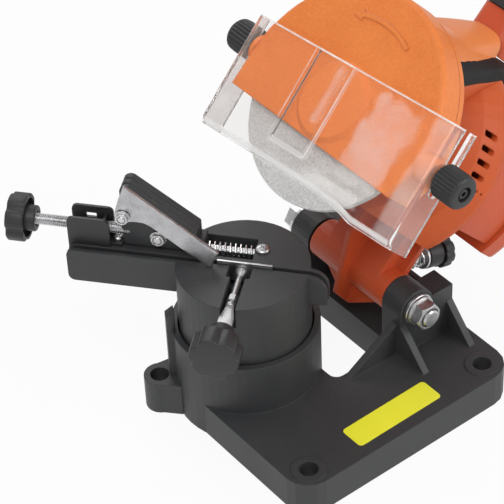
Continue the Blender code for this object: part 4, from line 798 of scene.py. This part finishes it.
# knurled guard knobs with a ring recess in the outer face and a bore for the stud
guardKnob = {"knurl": 0.8, "knurls": 26, "edge": 1.3, "ring": 3.9, "ringDeep": 2.4,
             "tube": 2.7, "tubeIn": 1.35, "tubeLow": 0.6, "bore": 3.0, "boreStop": 4.0}


def makeGuardKnob(side, way):
    node = f"guard_knob_{side}"
    (left, right), (low, high), _ = reachOf(node, wheelSpace)
    radius = (right - left) / 2
    length = high - low
    edge = guardKnob["edge"]
    grip = helper(slab(ringed(radius, guardKnob["knurl"], guardKnob["knurls"]), 0, length))
    form = lathe([(0, 0), (radius - 0.8, 0), (radius, 0.8), (radius + 0.2, length * 0.6),
                  (radius - 0.3, length - edge), (radius - edge, length - 0.2),
                  (radius - edge - 0.5, length), (0, length)], "Z", 90)
    carve(grip, [form], "INTERSECT")
    deep = length - guardKnob["ringDeep"]
    ring = guardKnob["ring"]
    recess = lathe([(0, deep), (ring, deep), (ring + 0.3, length + 1), (0, length + 1)],
                   "Z", 40)
    carve(grip, [recess])
    bore = sleeve(0, guardKnob["bore"], -1, length - guardKnob["boreStop"], "Z", 48)
    carve(grip, [bore])
    wide, end = guardKnob["tube"], length - guardKnob["tubeLow"]
    tube = lathe([(guardKnob["tubeIn"], deep - 0.5), (wide, deep - 0.5), (wide, end - 0.3),
                  (wide - 0.3, end), (guardKnob["tubeIn"], end)], "Z", 32)
    space = (wheelSpace @ shift((0, low if way > 0 else high, guard["stud"]))
             @ turn(-90 * way, "X"))
    gather(f"guardKnob_{side}", [takeShape(grip), tube], space, "knob",
           f"guard_knob_{side}_body", [node])


makeGuardKnob("left", 1)
makeGuardKnob("right", -1)
print("knobs made")


# steel hardware: chamfered hexagons, cross-recess screws, and the threaded screw
def gatherSteel(name, node, body, shapes, space, finish="steel"):
    gather(name, shapes, space, finish, body, [node])


def hexHead(radius, low, high, chamfer, dishRadius=0, dishDepth=0.8):
    corners = [(radius * cos(pi / 3 * step), radius * sin(pi / 3 * step))
               for step in range(6)]
    piece = helper(slab(corners, low, high, "XZ"))
    wide = radius * 1.02
    cone = lathe([(0, low), (radius * 0.84, low), (wide, low + chamfer), (wide, high),
                  (0, high)], "Y", 60)
    carve(piece, [cone], "INTERSECT")
    if dishRadius:
        dish = lathe([(0, low - 1), (dishRadius, low - 1),
                      (dishRadius * 0.86, low + dishDepth), (0, low + dishDepth)],
                     "Y", 48)
        carve(piece, [dish])
    return takeShape(piece)


def rodShape(radius, low, high, end=0.4):
    return lathe([(0, low), (radius - end, low), (radius, low + end),
                  (radius, high - end), (radius - end, high), (0, high)], "Y", 32)


def edgedRing(bore, wide, edge, low, high):
    return lathe([(bore, low), (wide - edge, low), (wide, low + edge), (wide, high),
                  (bore, high)], "Y", 60)


# flange and washer: bore, radius, edge
hinge = {"hex": 8.0, "chamfer": 1.4, "dish": 6.1, "dishDepth": 1.4, "seat": 0.3,
         "flangeThick": 1.7, "flange": (5.2, 8.5, 0.9), "washer": (5.3, 9.0, 0.4)}


def makeHingeNut():
    space = shift(places["hinge"])
    space.translation.y = 0
    low, high = reachOf("hinge_nut", space)[1]
    head = hexHead(hinge["hex"], low, high - hinge["seat"], hinge["chamfer"],
                   hinge["dish"], hinge["dishDepth"])
    flange = edgedRing(*hinge["flange"], high - hinge["flangeThick"], high)
    gatherSteel("hingeNut", "hinge_nut", "base_body", [head, flange], space, "dullSteel")
    washer = edgedRing(*hinge["washer"], *reachOf("washer_front", space)[1])
    gatherSteel("hingeWasher", "washer_front", "base_body", [washer], space)


# nuts with their bolts on the stop block: hexagon, head height, pin, place on the table
blockNuts = {
    "blockNut": {"node": "block_bolt", "hex": 4.0, "tall": 2.6, "pin": 2.2,
                 "spot": (-44.5, 0, 95.3)},
    "pawlNut": {"node": "pawl_pivot", "hex": 3.6, "tall": 2.8, "pin": 2.0,
                "spot": (-60.0, 0, 113.5)},
}


def makeBlockNut(name, look):
    space = tableSpace @ shift(look["spot"])
    low, high = reachOf(look["node"], space)[1]
    radius, seat = look["hex"], low + look["tall"]
    shapes = [hexHead(radius, low, seat, 0.7, radius * 0.74, 0.6),
              sleeve(0, radius * 1.08, seat - 0.6, seat, "Y", 40),
              rodShape(look["pin"], low - 0.1, high)]
    gatherSteel(name, look["node"], "carrier_body", shapes, space)


crossScrews = {
    "bracketScrew": {"node": "bracket_screw", "spot": (-66.5, 7.1, 90.1), "radius": 2.6,
                     "tall": 1.8, "shank": 1.2},
    "rodScrew": {"node": "rod_screw", "spot": (7.6, 12.0, 88.3), "radius": 3.6,
                 "tall": 2.0, "shank": 1.3},
}
crossRecess = {"turns": (35, 125), "arm": 0.58, "half": 0.42, "deep": 1.1, "dome": 0.65,
               "shankLong": 5.0}


def makeCrossScrew(name, look):
    radius, tall, shank = look["radius"], look["tall"], look["shank"]
    dome, deep = crossRecess["dome"], crossRecess["shankLong"]
    profile = [(0, tall)]
    for step in range(1, 8):
        angle = pi / 2 * step / 8
        profile.append((radius * sin(angle), tall * (1 - dome + dome * cos(angle))))
    profile += [(radius, tall * 0.3), (radius, 0), (shank, 0), (shank, -deep), (0, -deep)]
    head = helper(lathe(profile, "Z", 40))
    arm, half = radius * crossRecess["arm"], crossRecess["half"]
    slots = []
    for angle in crossRecess["turns"]:
        bar = slab(oblong(-arm, -half, arm, half), tall - crossRecess["deep"], tall + 1)
        bar.transform(turn(angle, "Z"))
        slots.append(bar)
    carve(head, slots)
    gatherSteel(name, look["node"], "turntable_body", [takeShape(head)],
                tableSpace @ shift(look["spot"]))


thread = {"spot": (0, 7.1, 96.8), "pitch": 1.0, "root": 2.55, "crest": 3.0, "flat": 0.05,
          "flank": 0.4}


def makeAdjustScrew():
    # fine thread, made as rings
    space = tableSpace @ shift(thread["spot"])
    low, high = reachOf("adjust_screw", space)[0]
    root, crest, pitch = thread["root"], thread["crest"], thread["pitch"]
    rise, width = thread["flat"] + thread["flank"], thread["flat"]
    profile = [(0, low)]
    place = low
    while place < high - pitch:
        profile += [(root, place + width), (crest, place + rise),
                    (crest, place + pitch - rise), (root, place + pitch - width)]
        place += pitch
    profile += [(root, high - width), (0, high)]
    gatherSteel("adjustScrew", "adjust_screw", "adjuster_body",
                [lathe(profile, "X", 28)], space)


# the clamp's screw: a neck at the strip, a hexagonal clip, and a flat spade to the knob
clampRod = {"spot": (-0.5, 0, 84.0), "radius": 1.7, "neck": 3.3, "neckLong": 4.0,
            "neckSlope": 2.4, "neckEdge": 1.2, "clip": 2.9, "clipAt": (-25, -21),
            "collar": (2.7, -29.0, -26.6, 0.5), "reaches": (-28.0, -43.0),
            "paddle": [(-1.2, -25.5), (-2.6, -31.5), (-3.7, -36.5), (-3.9, -42.5),
                       (-3.9, -48.0), (3.9, -48.0), (3.9, -42.5), (3.7, -36.5),
                       (2.6, -31.5), (1.2, -25.5)],
            "paddleRadii": [0.4, 2, 2, 2, 0.8, 0.8, 2, 2, 2, 0.4],
            "paddleHalf": 1.3, "paddleEdge": 0.4}


def makeClampRod():
    space = tableSpace @ shift(clampRod["spot"])
    low, high = reachOf("clamp_rod", space)[1]
    radius, neck, half = clampRod["radius"], clampRod["neck"], clampRod["paddleHalf"]
    inner, outer = clampRod["reaches"]
    start = high - clampRod["neckLong"]
    collar = lathe([(0, start), (radius, start),
                    (neck * 0.8, high - clampRod["neckSlope"]),
                    (neck, high - clampRod["neckEdge"]), (neck, high), (0, high)], "Y", 32)
    outline = roundOutline(clampRod["paddle"], clampRod["paddleRadii"], 4)
    shapes = [rodShape(radius, inner, high), rodShape(radius, low, outer), collar,
              hexHead(clampRod["clip"], *clampRod["clipAt"], 0.5),
              rodShape(*clampRod["collar"]),
              slab(outline, -half, half, "XY", clampRod["paddleEdge"])]
    gatherSteel("clampRod", "clamp_rod", "clamp_screw_body", shapes, space, "dullSteel")


# the pawl: a flat bar with a heel, its tip bent out over the chain slot
pawlBar = {"spot": (-60.0, 0, 113.5), "slope": 39.0, "middle": -2.0, "thick": 2.0,
           "high": 15.8, "bend": 33.3, "tip": 50.4, "tipCut": 2.6, "out": 2.8,
           "rise": 3.2, "columns": 70, "rows": 8, "edge": 0.22, "bendSoft": 0.6,
           "low": [(-10.5, 14.6), (-8.0, 7.4), (-5.2, 0.6), (-4.3, -1.2), (-2.8, -3.3),
                   (0.0, -4.3), (2.8, -3.3), (4.3, -0.9), (6.6, 1.6), (10.1, 4.2),
                   (14.0, 5.0), (50.5, 5.0)]}


def makePawl():
    shape = gridShape(pawlBar["columns"], pawlBar["rows"])
    start, bend, tip = pawlBar["low"][0][0], pawlBar["bend"], pawlBar["tip"]
    face = pawlBar["middle"] - pawlBar["thick"] / 2
    for spot in shape.verts:
        up = (spot.co.y + 1) / 2
        along = start + (tip - start - pawlBar["tipCut"] * up) * (spot.co.x + 1) / 2
        low = alongLine(pawlBar["low"], along)
        share = max(0.0, along - bend) / (tip - bend)
        share = share * share * (1 + pawlBar["bendSoft"] * (1 - share))
        spot.co = Vector((along, face - pawlBar["out"] * share,
                          low + (pawlBar["high"] - low) * up
                          + pawlBar["rise"] * share)) / 1000
    thicken(shape, pawlBar["thick"], Vector((0, -1, 0)))
    rims = [edge for edge in shape.edges if edge.calc_face_angle(0) > 1.0]
    bmesh.ops.bevel(shape, geom=rims, offset=pawlBar["edge"] / 1000, segments=2,
                    profile=0.5, affect="EDGES", material=-1)
    space = tableSpace @ shift(pawlBar["spot"]) @ turn(pawlBar["slope"], "Y")
    gather("pawlBar", [shape], space, "pawlSteel", "pawl_body", ["pawl"], 45)


# the end of the rib on the ring's left side, above the solid's, towards the rear lug
ringRib = {"lug": (-74.1, 102.9, 0.0), "half": 3.0, "edge": 0.25,
           "outline": [(36.9, 51.15), (41.35, 51.15), (41.35, 61.0), (36.9, 64.5)]}


def makeRingRib():
    away = Vector(ringRib["lug"]) - Vector(places["table"])
    shape = slab(ringRib["outline"], -ringRib["half"], ringRib["half"], "XZ",
                 ringRib["edge"])
    space = shift(places["table"]) @ turn(degrees(atan2(away.y, away.x)), "Z")
    gather("ringRib", [shape], space, "casting", "base_body")


makePawl()
makeRingRib()
makeHingeNut()
for name, look in blockNuts.items():
    makeBlockNut(name, look)
for name, look in crossScrews.items():
    makeCrossScrew(name, look)
makeAdjustScrew()
makeClampRod()
print("hardware made")


# blank yellow sticker on the base
sticker = {"centre": (-1.0, 2.8), "width": 55.0, "depth": 14.8, "corner": 2.2,
           "turned": 0.5, "lift": 0.05, "thick": 0.18}


def makeSticker():
    material, start = newMaterial("stickerYellow")
    drift = noise(start, objectSpace(start), 40)
    grain = noise(start, objectSpace(start), 900, 2)
    colour = ramp(start, drift, 0.3, 0.7, [(0.0, (0.83, 0.80, 0.035)),
                                           (1.0, (0.90, 0.87, 0.055))])
    surface(start, {"Base Color": colour, "Roughness": 0.35,
                    "Normal": softNormal(start, grain, 0.00003, 0.0002)})
    materials["sticker"] = material
    wide, deep = sticker["width"] / 2, sticker["depth"] / 2
    outline = roundOutline(oblong(-wide, -deep, wide, deep), sticker["corner"])
    shape = slab(outline, 0, sticker["thick"])
    space = (shift((*sticker["centre"], places["plateTop"] + sticker["lift"]))
             @ turn(sticker["turned"], "Z"))
    makePiece("blankSticker", shape, space, "sticker", "base_body")


makeSticker()
print("sticker made")


# camera, floor and light
view = {"place": (-540.32, -614.92, 845.68), "azimuth": -36.42, "elevation": 41.07,
        "roll": -2.76, "lens": 162.63, "sensor": 36, "near": 0.05, "far": 20}


def makeCamera():
    azimuth, elevation, roll = (radians(view[key])
                                for key in ("azimuth", "elevation", "roll"))
    back = Vector((sin(azimuth) * cos(elevation), -cos(azimuth) * cos(elevation),
                   sin(elevation)))
    right = Vector((cos(azimuth), sin(azimuth), 0))
    up = back.cross(right)
    across = right * cos(roll) + up * sin(roll)
    upward = up * cos(roll) - right * sin(roll)
    data = bpy.data.cameras.new("camera")
    data.lens = view["lens"]
    data.sensor_width = view["sensor"]
    data.clip_start = view["near"]
    data.clip_end = view["far"]
    camera = addObject("camera", data)
    turnMatrix = Matrix((across, upward, back)).transposed().to_4x4()
    camera.matrix_world = shift(view["place"]) @ turnMatrix
    bpy.context.scene.camera = camera


floorLook = {"size": 4, "under": -0.4, "white": 0.92, "colour": 0.80, "rough": 0.9}


def makeFloor():
    shape = gridShape(1, 1, floorLook["size"])
    mesh = bpy.data.meshes.new("floor")
    shape.to_mesh(mesh)
    shape.free()
    mesh.transform(shift((0, 0, floorLook["under"])))
    floor = addObject("floor", mesh)
    material, start = newMaterial("paleFloor")
    lit = start.node("ShaderNodeBsdfPrincipled", {}, {
        "Base Color": (*[floorLook["colour"]] * 3, 1), "Roughness": floorLook["rough"],
        "Specular IOR Level": 0.0})
    glow = start.node("ShaderNodeEmission", {}, {"Color": (1, 1, 1, 1), "Strength": 1.0})
    seen = lightPath(start, "Is Camera Ray") + lightPath(start, "Is Glossy Ray")
    share = seen * floorLook["white"]
    mixed = start.node("ShaderNodeMixShader", {}, {0: share, 1: lit, 2: glow})
    start.node("ShaderNodeOutputMaterial", {}, {"Surface": mixed})
    mesh.materials.append(material)


# place, point looked at, width and depth, and power
lamps = {
    "keyLamp": ((-0.55, -0.25, 1.15), (0.0, 0.06, 0.06), (0.75, 0.75), 6.6),
    "fillLamp": ((0.75, -0.95, 0.75), (0.0, 0.06, 0.08), (0.8, 0.8), 7.5),
    "backLamp": ((0.35, 1.0, 0.9), (0.0, 0.06, 0.1), (0.7, 0.5), 4.0),
}


def makeLamp(name, place, target, size, power):
    data = bpy.data.lights.new(name, "AREA")
    data.shape = "RECTANGLE"
    data.size, data.size_y = size
    data.energy = power
    lamp = addObject(name, data)
    lamp.location = place
    away = Vector(place) - Vector(target)
    lamp.rotation_mode = "QUATERNION"
    lamp.rotation_quaternion = away.to_track_quat("Z", "Y")


# soft: the even light, also in reflections and above the floor's edge; bands: what a
# ray meets after a diffuse bounce, by height above the horizon
studio = {"soft": 0.40,
          "bands": [(0.0, 0.95), (0.30, 0.88), (0.48, 0.34), (0.70, 0.18), (0.84, 0.26),
                    (0.94, 0.75), (1.0, 0.80)]}


def makeWorld():
    world = bpy.data.worlds.new("studio")
    world.use_nodes = True
    world.node_tree.nodes.clear()
    start = Wire(world.node_tree)
    bounced = lightPath(start, "Diffuse Depth") > 0.5
    way = start.node("ShaderNodeTexCoord", out="Generated")
    height = start.node("ShaderNodeSeparateXYZ", {}, {"Vector": way}, out="Z")
    bands = ramp(start, height, 0.0, 1.0, [(spot, (level, level, level))
                                           for spot, level in studio["bands"]])
    soft, banded = (
        start.node("ShaderNodeBackground", {}, {"Color": colour, "Strength": strength})
        for colour, strength in (((1, 1, 1, 1), studio["soft"]), (bands, 1.0)))
    mixed = start.node("ShaderNodeMixShader", {}, {0: bounced, 1: soft, 2: banded})
    start.node("ShaderNodeOutputWorld", {}, {"Surface": mixed})
    bpy.context.scene.world = world


makeCamera()
makeFloor()
makeWorld()
for name, look in lamps.items():
    makeLamp(name, *look)
bpy.context.scene.view_settings.view_transform = "Standard"
print("stage made")
